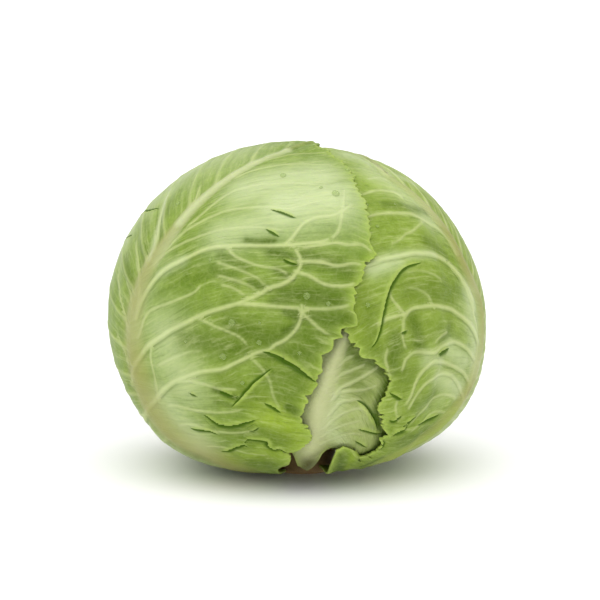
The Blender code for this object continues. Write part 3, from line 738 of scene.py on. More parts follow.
def front_leaf():
    """The pale leaf that shows between the other two. Its base is a thick blunt end."""
    vein, fold = partial(drawn, level=FRONT_LEVEL), partial(crease, level=FRONT_LEVEL)
    at = partial(seen, level=FRONT_LEVEL)
    right = [
        at((306, 464), (312, 461), (317, 456)),
        at((309, 452), (316, 451), (324, 450)),
        at((311, 440), (325, 440), (337, 447)),
        at((313, 430), (330, 429), (343, 437), (348, 452)),
        at((315, 419), (335, 415), (350, 427), (354, 444), (344, 463)),
        at((318, 404), (338, 396), (358, 402), (368, 424), (366, 459)),
        at((323, 388), (345, 383), (366, 384), (382, 402), (388, 448)),
        at((330, 368), (350, 362), (372, 356), (392, 372), (404, 410)),
        at((338, 350), (358, 340), (380, 332), (404, 340), (416, 366)),
        at((350, 326), (370, 312), (395, 302), (424, 306)),
        at((361, 299), (380, 286), (402, 276), (424, 272)),
        at((370, 268), (390, 254), (414, 242)),
        at((377, 235), (386, 226), (396, 218)),
    ]
    margin = at(
        (306, 465), (312, 462), (317, 457), (322, 451), (328, 448), (337, 447), (345, 449), (349, 453),
        (344, 463), (353, 463), (364, 460), (376, 455), (388, 448), (398, 431), (404, 410), (412, 385),
        (418, 360), (424, 330), (424, 306), (424, 272), (414, 242), (396, 218),
    )
    midrib = [line[0] for line in right]
    left = at(
        (297, 462), (291, 452), (286, 440), (282, 426), (278, 410), (275, 392), (272, 372), (272, 352),
        (275, 330), (284, 302), (304, 270), (332, 240), (362, 222),
    )
    left = ruled_half(midrib, left, 0.03)
    leaf = Leaf("leaf_front", 1.2, left, right, right_margin=margin, base_lift=0.0005)
    leaf.veins = [
        vein(1.3, 0.9, 0.9, (327, 402), (333, 397), (340, 388), (350, 383), (360, 378), (370, 372),
            (379, 366)),
        vein(1.1, 0.7, 0.8, (324, 417), (330, 412), (340, 402), (350, 400), (358, 400), (365, 407)),
        vein(0.9, 0.5, 0.7, (320, 429), (332, 420), (345, 412), (360, 408), (368, 414)),
        vein(0.9, 0.5, 0.6, (318, 437), (332, 429), (348, 423), (362, 420)),
        vein(0.9, 0.4, 0.5, (316, 443), (332, 438), (350, 433), (364, 434)),
        vein(0.8, 0.4, 0.5, (331, 382), (342, 374), (356, 368), (368, 362)),
        vein(0.8, 0.4, 0.5, (335, 368), (345, 360), (356, 354)),
        vein(0.8, 0.4, 0.5, (326, 395), (345, 391), (364, 389), (380, 384)),
    ]
    leaf.creases = [
        fold(1.0, 2.4, (382, 430), (378, 431), (373, 430), (365, 428), (357, 427)),
        fold(1.1, 2.6, (355, 400), (362, 405), (368, 412), (373, 421), (375, 428)),
        fold(0.8, 2.0, (367, 446), (362, 442), (354, 438)),
    ]
    leaf.rib_width = [5.8, 5.4, 5.0, 4.6, 4.3, 4.0, 3.6, 2.9, 2.2, 1.6, 1.2, 1.0, 0.8]
    leaf.rib_height = 0.0025
    soft = partial(stroke, level=FRONT_LEVEL)
    # darker green, and painted shade along the edges where the other two leaves lie over it
    leaf.strokes["lush"] = [
        soft(4, 0.8, (345, 340), (350, 352), (362, 362)),
        soft(3, 0.8, (370, 362), (386, 378), (386, 390)),
        soft(2.0, 0.5, (334, 348), (326, 362), (314, 390), (303, 412), (305, 428)),
        soft(3, 1.0, (386, 384), (380, 400), (377, 420), (382, 436), (372, 450), (350, 456)),
        soft(2.5, 0.8, (318, 455), (330, 450), (345, 450)), soft(5, 0.5, (350, 368), (362, 390)),
    ]
    # a painted sheen on the lower blade
    leaf.strokes["bloom"] = [soft(4, 0.5, (338, 400), (330, 425), (340, 440))]
    # painted shade at the base end and just above it, in a dark olive
    leaf.strokes["fresh"] = [soft(5.5, 1.0, (300, 464), (308, 458)), soft(3, 0.6, (312, 452), (330, 446))]
    return leaf


# Heights of a leaf over the pile that it lies on


def floor_room(directions):
    """How far out of the head's outline a leaf may stand before it meets the floor."""
    return (CENTRE[2] - FLOOR_GAP) / np.maximum(-directions[:, 2], 0.01) - head_radius(directions)


def resting_height(directions, pile):
    """How far a leaf must lie outside the head's outline to clear the pile, falling off around it."""
    if not pile:
        return np.full(len(directions), -1.0)
    below = np.concatenate([places for places, _ in pile])
    tops = np.concatenate([heights for _, heights in pile])
    lowest = np.empty(len(directions))
    for start in range(0, len(directions), 400):
        part = slice(start, start + 400)
        distance = np.arccos(np.clip(directions[part] @ below.T, -1, 1)) * HALF_DEPTH
        lowest[part] = (tops - DRAPE_SLOPE * np.maximum(distance - DRAPE_REACH, 0)).max(axis=1)
    return lowest


def lowest_heights(leaf, rows, left_columns, right_columns, pile):
    """The height at which each point of the fine grid may start, smooth between widely spaced ones."""
    coarse_rows = (leaf.count - 1) * DRAPE_ROWS + 1
    places = leaf.grid(coarse_rows, DRAPE_COLUMNS, DRAPE_COLUMNS)
    flat = places.reshape(-1, 3)
    lowest = np.maximum(leaf.level - LEAF_THICKNESS, resting_height(flat, pile) + LEAF_GAP)
    fine = resampled(lowest.reshape(places.shape[:2]), rows).T
    left = resampled(fine[: DRAPE_COLUMNS + 1], left_columns + 1)
    right = resampled(fine[DRAPE_COLUMNS:], right_columns + 1)
    return np.concatenate([left[:-1], right]).T


def pooled(directions, heights):
    """Points for the pile: the highest of every block of the grid."""
    rows, columns = heights.shape[0] // POOL * POOL, heights.shape[1] // POOL * POOL
    blocks = heights[:rows, :columns].reshape(rows // POOL, POOL, columns // POOL, POOL)
    middle = directions[POOL // 2 : rows : POOL, POOL // 2 : columns : POOL]
    return middle.reshape(-1, 3), blocks.max(axis=(1, 3)).ravel()


def freedom(leaf, directions):
    """1 on the head's sides and 0 under it, where the floor presses a leaf flat. A lifted base is free."""
    if leaf.base_lift:
        return np.ones(len(directions))
    return np.clip((directions[:, 2] + 0.88) / 0.35, 0, 1)


# Outside of a leaf, with its veins, strokes, midrib and folds


def shape_leaf(leaf, rows, left_columns, right_columns, pile):
    """Points of a leaf's outside and the values that its colours are made from."""
    grid = leaf.grid(rows, left_columns, right_columns)
    flat = grid.reshape(-1, 3)
    across = [np.linspace(-1, 0, left_columns + 1)[:-1], np.linspace(0, 1, right_columns + 1)]
    across = np.tile(np.concatenate(across), rows)
    outward, side = np.abs(across), np.sign(across)
    share = np.repeat(np.linspace(0, 1, rows), grid.shape[1])
    lift = np.zeros(len(flat))
    values = {name: np.zeros(len(flat)) for name in ("pale", "halo", "fold", "rib")}
    values |= {name: np.full(len(flat), NO_LINE) for name in ("vein_side", "fold_side")}
    from_vein = mark_veins(leaf, flat, values, lift)
    mark_strokes(leaf, flat, values)
    mark_midrib(leaf, flat, values, lift, from_vein)
    folded = mark_folds(leaf, flat, values)
    puff = PUFF_HEIGHT * ramp(from_vein, 0, PUFF_REACH) * (1 - outward**8)
    edge = edge_rise(leaf, share, outward, side)
    base = leaf.base_lift * np.clip(1 - share / 0.3, 0, 1) ** 2 * bump(outward / 1.5)
    lowest = lowest_heights(leaf, rows, left_columns, right_columns, pile).ravel()
    relief = (lift + puff + np.maximum(folded, -FOLD_SINK) + edge) * freedom(leaf, flat)
    heights = np.minimum(lowest + LEAF_THICKNESS + relief + base, floor_room(flat))
    step = np.linalg.norm(np.diff(grid, axis=1), axis=2) * HALF_DEPTH
    values["edge"] = edge_closeness(step, left_columns)
    values["share"], values["outward"] = share, outward
    pile.append(pooled(grid, heights.reshape(grid.shape[:2])))
    points = CENTRE + flat * (head_radius(flat) + heights)[:, None]
    return points, values


def mark_veins(leaf, flat, values, lift):
    """Draws a leaf's side veins, and returns how far each place is from one of them."""
    from_vein = np.full(len(flat), 0.02)
    for vein in leaf.veins:
        near, distance, turned, place = vein.measure(flat, VEIN_REACH)
        width = vein.width * vein.fade(place)
        # the signed distance, which puts the painted shade line on one side of the vein
        note_side(values["vein_side"], near, turned * distance / np.maximum(width, 0.0010))
        depth = vein.strength * (1 - 0.35 * place) * vein.ends(place)
        for name, least, reach in (("pale", 0.0014, 1.0), ("halo", 0.0012, 2.2)):
            keep_greater(values[name], near, depth * bell(distance, reach * np.maximum(width, least)))
        height = 0.8 * vein.height * vein.fade(place)
        keep_greater(lift, near, height * bell(distance, 1.3 * width))
        from_vein[near] = np.minimum(from_vein[near], distance + 0.006 * (1 - vein.strength))
    values["vein_side"] *= leaf.shadow_side
    return from_vein


def mark_strokes(leaf, flat, values):
    """Draws a leaf's broad strokes of colour."""
    for name, strokes in leaf.strokes.items():
        values[name] = np.zeros(len(flat))
        for line in strokes:
            near, distance, _, _ = line.measure(flat, 2.5 * line.width)
            keep_greater(values[name], near, line.strength * bell(distance, line.width))


def mark_midrib(leaf, flat, values, lift, from_vein):
    """Draws a leaf's midrib."""
    near, distance, _, place = leaf.midrib().measure(flat, RIB_REACH)
    width = leaf.rib_half_width(place)
    values["rib"][near] = (1 - ramp(distance / width, 0.0, 2.2)) * np.clip(width / 0.0025, 0.25, 1)
    height = leaf.rib_height * (0.35 + 0.65 * np.clip(width / 0.0045, 0, 1))
    keep_greater(lift, near, height * bell(distance, 1.1 * width))
    from_vein[near] = np.minimum(from_vein[near], np.maximum(distance - width, 0))


def mark_folds(leaf, flat, values):
    """Draws a leaf's folds, with the masks for their painted shade and highlight, and returns how far their
    upper side stands out and their lower side sinks.
    """
    folded = np.zeros(len(flat))
    for line in leaf.creases:
        near, distance, turned, place = line.measure(flat, 3 * line.width)
        shade = bell(distance, line.width)
        ends = np.sqrt(np.clip(np.sin(math.pi * np.clip(place, 0.02, 0.98)), 0, 1))
        height = 0.55 * line.height * ends * shade
        folded[near] += np.where(turned > 0, height, -0.25 * height)
        keep_greater(values["fold"], near, shade * line.ends(place))
        pointed = np.sqrt(np.clip(np.minimum(place, 1 - place) / 0.35, 0.03, 1))
        note_side(values["fold_side"], near, turned * distance / (line.width * pointed))
    return folded


def edge_rise(leaf, share, outward, side):
    """How far a leaf's edge bends out: in uneven waves with fine ripples, and not at its base or tip."""
    row = share * (leaf.count - 1)
    rise = leaf.edge_lift * outward**5 * (1 + waves(3.4 * row + side)) / 2
    rise += RIPPLE_HEIGHT * outward**14 * (1 + waves(14 * row))
    return rise * (np.clip((share - 0.15) / 0.08, 0, 1) * np.clip((leaf.free_edge - share) / 0.06, 0, 1))


def bell(distance, width):
    """1 at 0, falling off over about a width."""
    return np.exp(-((distance / width) ** 2))


def keep_greater(kept, near, numbers):
    """Keeps the greater of what is there and the new numbers."""
    kept[near] = np.maximum(kept[near], numbers)


def note_side(kept, near, sided):
    """Keeps the signed distance to whichever line is nearest."""
    nearer = np.abs(sided) < np.abs(kept[near])
    kept[near[nearer]] = sided[nearer]


def edge_closeness(step, left_columns):
    """1 at the leaf's side edges, falling off over a few millimetres."""
    left = np.cumsum(np.pad(step[:, :left_columns], ((0, 0), (1, 0))), axis=1)[:, :-1]
    right = np.cumsum(np.pad(step[:, left_columns:][:, ::-1], ((0, 0), (1, 0))), axis=1)[:, ::-1]
    return np.exp(-np.concatenate([left, right], axis=1) / EDGE_BAND).ravel()


# Node trees


class Value:
    """A socket that plain arithmetic can be done on."""

    def __init__(self, tree, socket):
        self.tree, self.socket = tree, socket

    def math(self, operation, *others):
        """The result of one arithmetic node on this value and the others."""
        return self.tree.node("ShaderNodeMath", {"operation": operation}, self, *others)

    def __add__(self, other):
        return self.math("ADD", other)

    def __mul__(self, other):
        return self.math("MULTIPLY", other)

    def __sub__(self, other):
        return self.math("SUBTRACT", other)

    def __rsub__(self, other):
        return (self * -1) + other

    def __truediv__(self, other):
        return self.math("DIVIDE", other)

    def __pow__(self, other):
        return self.math("POWER", other)

    __radd__ = __add__
    __rmul__ = __mul__

    def __neg__(self):
        return self * -1

    def __abs__(self):
        return self.math("ABSOLUTE")

    def at_most(self, limit):
        """This value where it is under the limit, or else the limit."""
        return self.math("MINIMUM", limit)

    def ramp(self, low, high, start=0.0, end=1.0):
        """One number at low and another at high, smooth between them."""
        settings = {"interpolation_type": "SMOOTHSTEP"}
        return self.tree.node("ShaderNodeMapRange", settings, self, low, high, start, end)


class Tree:
    """Adds nodes to a node tree, with their settings, values and links in one call."""

    def __init__(self, nodes_of):
        self.nodes, self.links = nodes_of.nodes, nodes_of.links

    def node(self, kind, settings=None, *values, output=0, **named):
        """Adds a node and returns one of its outputs. A value of None leaves its socket alone."""
        node = self.nodes.new(kind)
        for name, setting in (settings or {}).items():
            setattr(node, name, setting)
        for place, value in list(enumerate(values)) + list(named.items()):
            self.fill(node.inputs[place.replace("_", " ") if isinstance(place, str) else place], value)
        return Value(self, node.outputs[output])

    def fill(self, socket, value):
        """Links a value to a socket, or sets the socket to it."""
        if isinstance(value, Value):
            self.links.new(value.socket, socket)
        elif value is not None:
            socket.default_value = value

    def attribute(self, name):
        """A number stored on the mesh."""
        return self.node("ShaderNodeAttribute", {"attribute_name": name}, output=2)

    def part(self, vector, k):
        """The x, y or z of a vector."""
        return self.node("ShaderNodeSeparateXYZ", None, vector, output=k)

    def scaled(self, vector, amount):
        """A vector times a number."""
        return self.node("ShaderNodeVectorMath", {"operation": "SCALE"}, vector, Scale=amount)

    def mix(self, factor, first, second):
        """One colour mixed into another."""
        between = [None] * 5
        return self.node("ShaderNodeMix", {"data_type": "RGBA"}, factor, *between, first, second, output=2)

    def noise(self, coordinates, scale, detail=2.0, roughness=0.5):
        """Soft noise from 0 to 1."""
        shape = {"Scale": scale, "Detail": detail, "Roughness": roughness}
        return self.node("ShaderNodeTexNoise", None, Vector=coordinates, **shape)

    def cells(self, coordinates, scale):
        """Distance to the edges of a net of cells."""
        settings = {"feature": "DISTANCE_TO_EDGE"}
        return self.node("ShaderNodeTexVoronoi", settings, Vector=coordinates, Scale=scale)


def colour(*display):
    """A linear colour from the red, green and blue of a display."""
    shares = [part / 255 for part in display]
    return tuple(s / 12.92 if s < 0.04 else ((s + 0.055) / 1.055) ** 2.4 for s in shares) + (1.0,)


def new_material(name, shader_inputs):
    """A material with a Principled shader and these fixed values, its tree and the shader's inputs."""
    material = bpy.data.materials.new(name)
    material.use_nodes = True
    sockets = material.node_tree.nodes["Principled BSDF"].inputs
    for socket, value in shader_inputs.items():
        sockets[socket].default_value = value
    return material, Tree(material.node_tree), sockets


def give_look(tree, sockets, base, roughness, height, strength, distance):
    """Links a colour, a roughness and a bump made from a height to a shader."""
    tree.fill(sockets["Base Color"], base)
    tree.fill(sockets["Roughness"], roughness)
    bumped = {"Height": height, "Strength": strength, "Distance": distance}
    tree.fill(sockets["Normal"], tree.node("ShaderNodeBump", None, **bumped))


def leaf_material(name, colours):
    """Leaf blade with pale veins, fine netting, mottled green and a light edge, with painted shade in its
    folds, beside its veins and in its hollows, and a painted sheen and fold highlights.
    """
    fixed = {"Specular IOR Level": 0.13, "Coat Roughness": 0.30, "Subsurface Weight": 0.12}
    fixed |= {"Subsurface Radius": (0.004, 0.006, 0.0015), "Subsurface Scale": 0.6}
    material, tree, sockets = new_material(name, fixed)
    place = tree.node("ShaderNodeTexCoord", None, output=3)
    pale, halo, fold = (tree.attribute(key) for key in ("pale", "halo", "fold"))
    vein_side, fold_side = tree.attribute("vein_side"), tree.attribute("fold_side")
    rib, edge = tree.attribute("rib"), tree.attribute("edge")
    bloom, lush, fresh = (tree.attribute(key) for key in ("bloom", "lush", "fresh"))
    share, outward = tree.attribute("share"), tree.attribute("outward")
    # fine patterns
    cloud = tree.noise(place, 38.0, 3.0)
    mottle = tree.noise(place, 210.0, 4.0, 0.6)
    wander = tree.node("ShaderNodeTexNoise", None, Vector=place, Scale=160.0, output=1)
    warped = tree.node("ShaderNodeVectorMath", {"operation": "ADD"}, place, tree.scaled(wander, 0.006))
    coarse, fine = tree.cells(warped, 150.0), tree.cells(warped, 420.0)
    netting = (1 - coarse.ramp(0.0, 0.13)) * 0.05 + (1 - fine.ramp(0.0, 0.16)) * 0.05
    flow = (share * 150 + mottle * 0.9, outward * 6 + mottle * 0.3, cloud)
    grain = tree.noise(tree.node("ShaderNodeCombineXYZ", None, *flow), 1.0, 4.0, 0.65)
    # veins with a painted shade line beside them, and folds with painted shade at their foot and a painted
    # highlight along their raised edge
    core = (1 - abs(vein_side).ramp(0.1, 1.1)) * pale.ramp(0.05, 0.35) * (pale * 0.5 + 0.5)
    # the mask of the painted shade line on the lower side of each vein
    under = vein_side.ramp(0.6, 1.2) * (1 - vein_side.ramp(1.2, 2.9)) * halo.ramp(0.3, 0.9)
    below = 1 - fold_side.ramp(-0.05, 0.05)
    # the mask of the painted shade at the foot of each fold
    depth = fold.ramp(0.0, 0.7) * below * (1 - (-fold_side).ramp(0.1, 1.1))
    # the mask of the painted highlight along the raised edge of each fold
    fold_highlight = fold * (1 - below) * (1 - fold_side.ramp(0.1, 0.8))
    step = fold * (1 - below) * (1 - fold_side.ramp(0.0, 1.2))
    # veins whiter under the painted sheen
    vein = tree.mix(bloom * 0.8, colours["vein"], colours["bloom"])
    # colours, each laid over the ones before
    look = tree.mix(cloud.ramp(0.30, 0.70), colours["blade"], colours["deep"])
    for cover, over in (
        (mottle.ramp(0.35, 0.75) * 0.45, colours["light"]),
        # yellower green; on the front leaf, painted shade at its base end
        (fresh * (0.6 + mottle * 0.5), colours["fresh"]),
        # painted sheen over a paler whitish tone
        (bloom * (0.5 + cloud * 0.4 + grain * 0.3), colours["bloom"]),
        # darker green patches and painted shade in hollows and pockets
        ((lush * (0.8 + mottle * 0.4)).at_most(1.0), colours["lush"]),
        (grain.ramp(0.48, 0.80) * 0.45, colours["vein"]),
        ((1 - grain.ramp(0.25, 0.50)) * (0.45 - bloom * 0.3), colours["lush"]),
        (netting, colours["vein"]),
        # painted shade on the lower side of each vein
        (under * 0.6, colours["lush"]),
        (pale * 0.25 + core * (0.35 + mottle * 0.4), vein),
        (rib * (0.45 + cloud * 0.4 + mottle * 0.3).at_most(1.0), colours["rib"]),
        # painted sheen on the midrib
        (rib * bloom * 0.7, colours["bloom"]),
        # on the front leaf, painted shade over the midrib's base end
        (rib * fresh, colours["fresh"]),
        # lighter rim along the side edges, and a painted highlight along the raised edge of each fold
        ((edge * 0.7).math("MAXIMUM", fold_highlight * 0.6), colours["tip"]),
        # painted shade at the foot of each fold
        ((depth * 1.3).at_most(0.9), colours["shade"]),
    ):
        look = tree.mix(cover, look, over)
    roughness = (0.42 + mottle * 0.16 + depth * 0.5).at_most(1.0)
    relief = netting * 0.6 + mottle * 0.5 + grain * 0.9 + core * 0.5 + step * 0.8
    give_look(tree, sockets, look, roughness, relief, 0.7, 0.0009)
    tree.fill(sockets["Coat Weight"], (0.02 + bloom * 0.40) * (1 - depth))
    return material


def heart_material(colours):
    """Packed inner leaves, paler towards the stem."""
    fixed = {"Subsurface Weight": 0.1, "Subsurface Scale": 0.004}
    material, tree, sockets = new_material("heart_look", fixed)
    place = tree.node("ShaderNodeTexCoord", None, output=3)
    mottle = tree.noise(place, 150.0, 4.0, 0.6)
    green = tree.mix(mottle.ramp(0.3, 0.7), colours["light"], colours["blade"])
    green = tree.mix((1 - tree.cells(place, 110.0).ramp(0.0, 0.12)) * 0.4, green, colours["vein"])
    look = tree.mix(1 - tree.part(place, 2).ramp(0.010, 0.045), green, colours["rib"])
    give_look(tree, sockets, look, 0.45 + mottle * 0.2, mottle, 0.3, 0.0006)
    return material


def stem_material(colours):
    """Cream stem with a browned, ringed cut end."""
    fixed = {"Subsurface Weight": 0.08, "Subsurface Scale": 0.003}
    material, tree, sockets = new_material("stem_look", fixed)
    place = tree.node("ShaderNodeTexCoord", None, output=3)
    x, y, z = (tree.part(place, k) for k in range(3))
    x, y = x - float(STEM_FOOT[0]), y - float(STEM_FOOT[1])
    radius = (x * x + y * y).math("SQRT") / STEM_RADIUS
    mottle = tree.noise(place, 320.0, 4.0, 0.65)
    ring = (1 - abs(radius + mottle * 0.1 - 0.72).ramp(0.0, 0.09)) * 0.5
    brown = (mottle.ramp(0.3, 0.7) * 0.6 + ring).at_most(1.0)
    end = tree.mix(brown, colours["cut"], colours["cut_dark"])
    side = tree.mix(mottle, colours["cut_dark"], colours["cut"])
    look = tree.mix(1 - z.ramp(0.0004, 0.0016), side, end)
    give_look(tree, sockets, look, 0.55 + mottle * 0.2, mottle, 0.4, 0.0005)
    return material


def water_material():
    """Clear water, as a thin bright film."""
    fixed = {"Base Color": (0.34, 0.46, 0.12, 1), "Roughness": 0.35, "Specular IOR Level": 0.7}
    return new_material("water_look", fixed | {"Alpha": 0.35})[0]


# Geometry trees


def geometry_tree(name, numbers):
    """A geometry node group with inputs for the geometry, these numbers and a material, and its Tree."""
    group = bpy.data.node_groups.new(name, "GeometryNodeTree")
    group.interface.new_socket("Geometry", in_out="INPUT", socket_type="NodeSocketGeometry")
    group.interface.new_socket("Geometry", in_out="OUTPUT", socket_type="NodeSocketGeometry")
    for label, number in numbers.items():
        socket = group.interface.new_socket(label, in_out="INPUT", socket_type="NodeSocketFloat")
        socket.default_value = number
    group.interface.new_socket("Material", in_out="INPUT", socket_type="NodeSocketMaterial")
    tree = Tree(group)
    entry = group.nodes.new("NodeGroupInput")
    given = {socket.name: Value(tree, socket) for socket in entry.outputs if socket.name}
    return group, tree, given


def end_tree(group, tree, geometry, material):
    """Realizes, gives the material and ends the tree."""
    real = tree.node("GeometryNodeRealizeInstances", None, geometry)
    done = tree.node("GeometryNodeSetMaterial", None, real, Material=material)
    tree.fill(group.nodes.new("NodeGroupOutput").inputs[0], done)
    return group


def pushed_out(group, tree, given, amount):
    """Ends a tree that moves the surface along its normal by an amount."""
    offset = tree.scaled(tree.node("GeometryNodeInputNormal"), amount)
    moved = tree.node("GeometryNodeSetPosition", None, given["Geometry"], Offset=offset)
    return end_tree(group, tree, moved, given["Material"])


def named_attribute(tree, kind, name):
    """A number or a vector stored on the mesh, for a geometry tree."""
    return tree.node("GeometryNodeInputNamedAttribute", {"data_type": kind}, name)


def pucker_tree():
    """Small puckers along the surface's normal, left off the midrib."""
    numbers = {"Pucker height": 0.0003, "Frequency": 160.0, "Seed": 0.0}
    group, tree, given = geometry_tree("Puckered surface", numbers)
    place = tree.node("GeometryNodeInputPosition")
    calm = named_attribute(tree, "FLOAT", "rib")
    shape = {"Vector": place, "W": given["Seed"], "Scale": given["Frequency"], "Detail": 2.0}
    noise = tree.node("ShaderNodeTexNoise", {"noise_dimensions": "4D"}, **shape)
    return pushed_out(group, tree, given, (noise - 0.45) * given["Pucker height"] * (1 - calm))


def heart_tree():
    """Edges of packed leaves as steps wound round the heart, and ribs that fan out from the stem."""
    numbers = {"Layers": 5.0, "Step": 0.0011, "Rib height": 0.0012}
    group, tree, given = geometry_tree("Packed heart", numbers)
    place = tree.node("GeometryNodeInputPosition")
    x, y, z = (tree.part(place, k) for k in range(3))
    behind = -(y - float(STEM_FOOT[1]))
    bearing = (x - float(STEM_FOOT[0])).math("ARCTAN2", behind) / (2 * math.pi)
    height = (z - float(CENTRE[2])) / RISE
    winding = (bearing * given["Layers"] + height * 1.4).math("FRACT")
    edge = winding.ramp(0.0, 0.12) * (1 - winding.ramp(0.12, 1.0))
    step = edge * given["Step"] * (1 - abs(height) ** 6)
    fan = ((bearing * 11 + height * 0.8).math("PINGPONG", 0.5) * 2) ** 6
    rib = fan * given["Rib height"] * (1 - z.ramp(0.015, 0.085))
    return pushed_out(group, tree, given, step + rib)


def droplet_tree():
    """A flattened bead of water on every point, turned to face away from the leaf."""
    group, tree, given = geometry_tree("Water droplets", {"Flatness": 0.45})
    bead = tree.node("GeometryNodeMeshIcoSphere", None, 1.0, 4)
    facing = named_attribute(tree, "FLOAT_VECTOR", "facing")
    size = named_attribute(tree, "FLOAT", "size")
    settings = {
        "Instance": tree.node("GeometryNodeSetShadeSmooth", None, bead),
        "Rotation": tree.node("FunctionNodeAlignRotationToVector", {"axis": "Z"}, Vector=facing),
        "Scale": tree.node("ShaderNodeCombineXYZ", None, size, size, size * given["Flatness"]),
    }
    beads = tree.node("GeometryNodeInstanceOnPoints", None, given["Geometry"], **settings)
    return end_tree(group, tree, beads, given["Material"])


def apply_tree(obj, group, **settings):
    """Gives the object a geometry tree with these values of its named inputs."""
    modifier = obj.modifiers.new(group.name, "NODES")
    modifier.node_group = group
    for item in group.interface.items_tree:
        value = settings.get(item.name.replace(" ", "_").lower())
        if item.in_out == "INPUT" and value is not None:
            modifier[item.identifier] = value


def as_plain_mesh(obj):
    """The object's shape with its modifiers in it, as a mesh of its own under the same name."""
    graph = bpy.context.evaluated_depsgraph_get()
    shaped = obj.evaluated_get(graph)
    mesh = bpy.data.meshes.new_from_object(shaped, preserve_all_data_layers=True, depsgraph=graph)
    name = obj.name
    obj.modifiers.clear()
    bpy.data.objects.remove(obj)
    mesh.name = name
    return new_object(name, mesh)


def new_object(name, data):
    """An object in the scene that shows a mesh, a light or a camera."""
    obj = bpy.data.objects.new(name, data)
    bpy.context.scene.collection.objects.link(obj)
    return obj


def finish_piece(obj, node):
    """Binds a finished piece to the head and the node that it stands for."""
    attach(obj, "root")
    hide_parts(node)


# Pieces


PILE = []
BODY = next(iter(frame["bodies"]))


def grid_object(name, rows, columns, points, values):
    """A mesh grid through the points, with the values stored on it."""
    bpy.ops.mesh.primitive_grid_add(x_subdivisions=columns, y_subdivisions=rows - 1, size=2)
    obj = bpy.context.object
    obj.name = obj.data.name = name
    obj.data.vertices.foreach_set("co", points.ravel())
    obj.data.flip_normals()
    obj.data.shade_smooth()
    for key, numbers in values.items():
        store(obj.data, key, numbers)
    obj.data.update()
    return obj


def store(mesh, name, numbers):
    """Stores a number for each vertex of a mesh."""
    mesh.attributes.new(name, "FLOAT", "POINT").data.foreach_set("value", np.array(numbers, np.float32))


def build_leaf(leaf, rows, left_columns, right_columns, name, colours, seed):
    """Builds a leaf that lies on the pile so far."""
    settings = bpy.context.scene.lettuce
    points, values = shape_leaf(leaf, rows, left_columns, right_columns, PILE)
    obj = grid_object(name, rows, left_columns + right_columns, points, values)
    material = leaf_material(name + "_look", colours)
    puckers = {"pucker_height": settings.pucker_height, "seed": float(seed)}
    apply_tree(obj, pucker_tree(), material=material, **puckers)
    wall = obj.modifiers.new("Thickness", "SOLIDIFY")
    wall.thickness = settings.thickness
    wall.offset = -1
    finish_piece(as_plain_mesh(obj), leaf.name)


def head_colours(**changes):
    """The colours of the panel by name, with some of them changed."""
    palette = bpy.context.scene.lettuce_colours
    return {name: tuple(getattr(palette, name)) for name in LettuceColours.__annotations__} | changes


def vertex_places(mesh):
    """The places of a mesh's vertices, one in each row."""
    places = np.empty(len(mesh.vertices) * 3)
    mesh.vertices.foreach_get("co", places)
    return places.reshape(-1, 3)


def head_ball(rows, columns, height):
    """A ball in the form of the head, at a height over its outside."""
    bpy.ops.mesh.primitive_uv_sphere_add(segments=columns, ring_count=rows, radius=1)
    obj = bpy.context.object
    directions = unit(vertex_places(obj.data))
    points = CENTRE + directions * (head_radius(directions) + height)[:, None]
    obj.data.vertices.foreach_set("co", points.ravel())
    obj.data.shade_smooth()
    return obj, directions


class LettuceSizes(bpy.types.PropertyGroup):
    """Sizes of the head's fine detail."""

    thickness: bpy.props.FloatProperty(
        name="Leaf thickness", description="Thickness of a blade", default=0.0010, unit="LENGTH"
    )
    pucker_height: bpy.props.FloatProperty(
        name="Pucker height", description="Height of the small puckers", default=0.0007, unit="LENGTH"
    )
    droplet_size: bpy.props.FloatProperty(
        name="Droplet size", description="Radius of the largest droplet", default=0.0016, unit="LENGTH"
    )
    light_power: bpy.props.FloatProperty(
        name="Light strength", description="Strength of the light from above", default=2.8
    )


def colour_property(name, description, *display):
    """A colour of the panel, from the red, green and blue of a display."""
    return bpy.props.FloatVectorProperty(
        name=name, description=description, default=colour(*display), size=4, subtype="COLOR", min=0, max=1
    )


class LettuceColours(bpy.types.PropertyGroup):
    """Colours of the leaves and the stem."""

    blade: colour_property("Blade", "Green of a leaf's blade", 114, 138, 46)
    deep: colour_property("Deep", "Darker green of its clouds", 98, 124, 30)
    light: colour_property("Light", "Lighter green of its flecks", 142, 164, 70)
    # darker green, also the colour of painted shade in hollows, pockets, beside veins and along overlapping
    # edges
    lush: colour_property("Lush", "Full green where the leaf is thin", 72, 96, 2)
    # painted sheen over a paler whitish tone, where light falls on the head
    bloom: colour_property("Bloom", "Whitish sheen of the outermost parts", 192, 204, 154)
    # yellower green; the front leaf uses this mark, in a dark olive, for painted shade at its base end
    fresh: colour_property("Fresh", "Yellower green of the frilled edge", 142, 166, 44)
    vein: colour_property("Vein", "Side veins", 186, 195, 132)
    rib: colour_property("Rib", "Midrib", 150, 148, 88)
    shade: colour_property("Shade", "Depth of a fold", 54, 84, 0)
    # lighter rim of the thin edges, and the painted highlight along the raised edges of folds
    tip: colour_property("Tip", "Thin edges and the tops of folds", 164, 184, 88)
    cut: colour_property("Cut", "Cut end of the stem", 176, 148, 100)
    cut_dark: colour_property("Dark cut", "Browned parts of the cut", 112, 78, 40)


class LETTUCE_OT_heart(bpy.types.Operator):
    """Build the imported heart"""

    bl_idname = "lettuce.heart"
    bl_label = "Heart"

    def execute(self, context):
        obj, directions = head_ball(110, 200, -HEART_DEPTH)
        obj.name = "inner_heart"
        apply_tree(obj, heart_tree(), material=heart_material(head_colours()))
        finish_piece(as_plain_mesh(obj), "heart")
        PILE.append((directions, np.full(len(directions), HEART_RELIEF - HEART_DEPTH)))
        return {"FINISHED"}


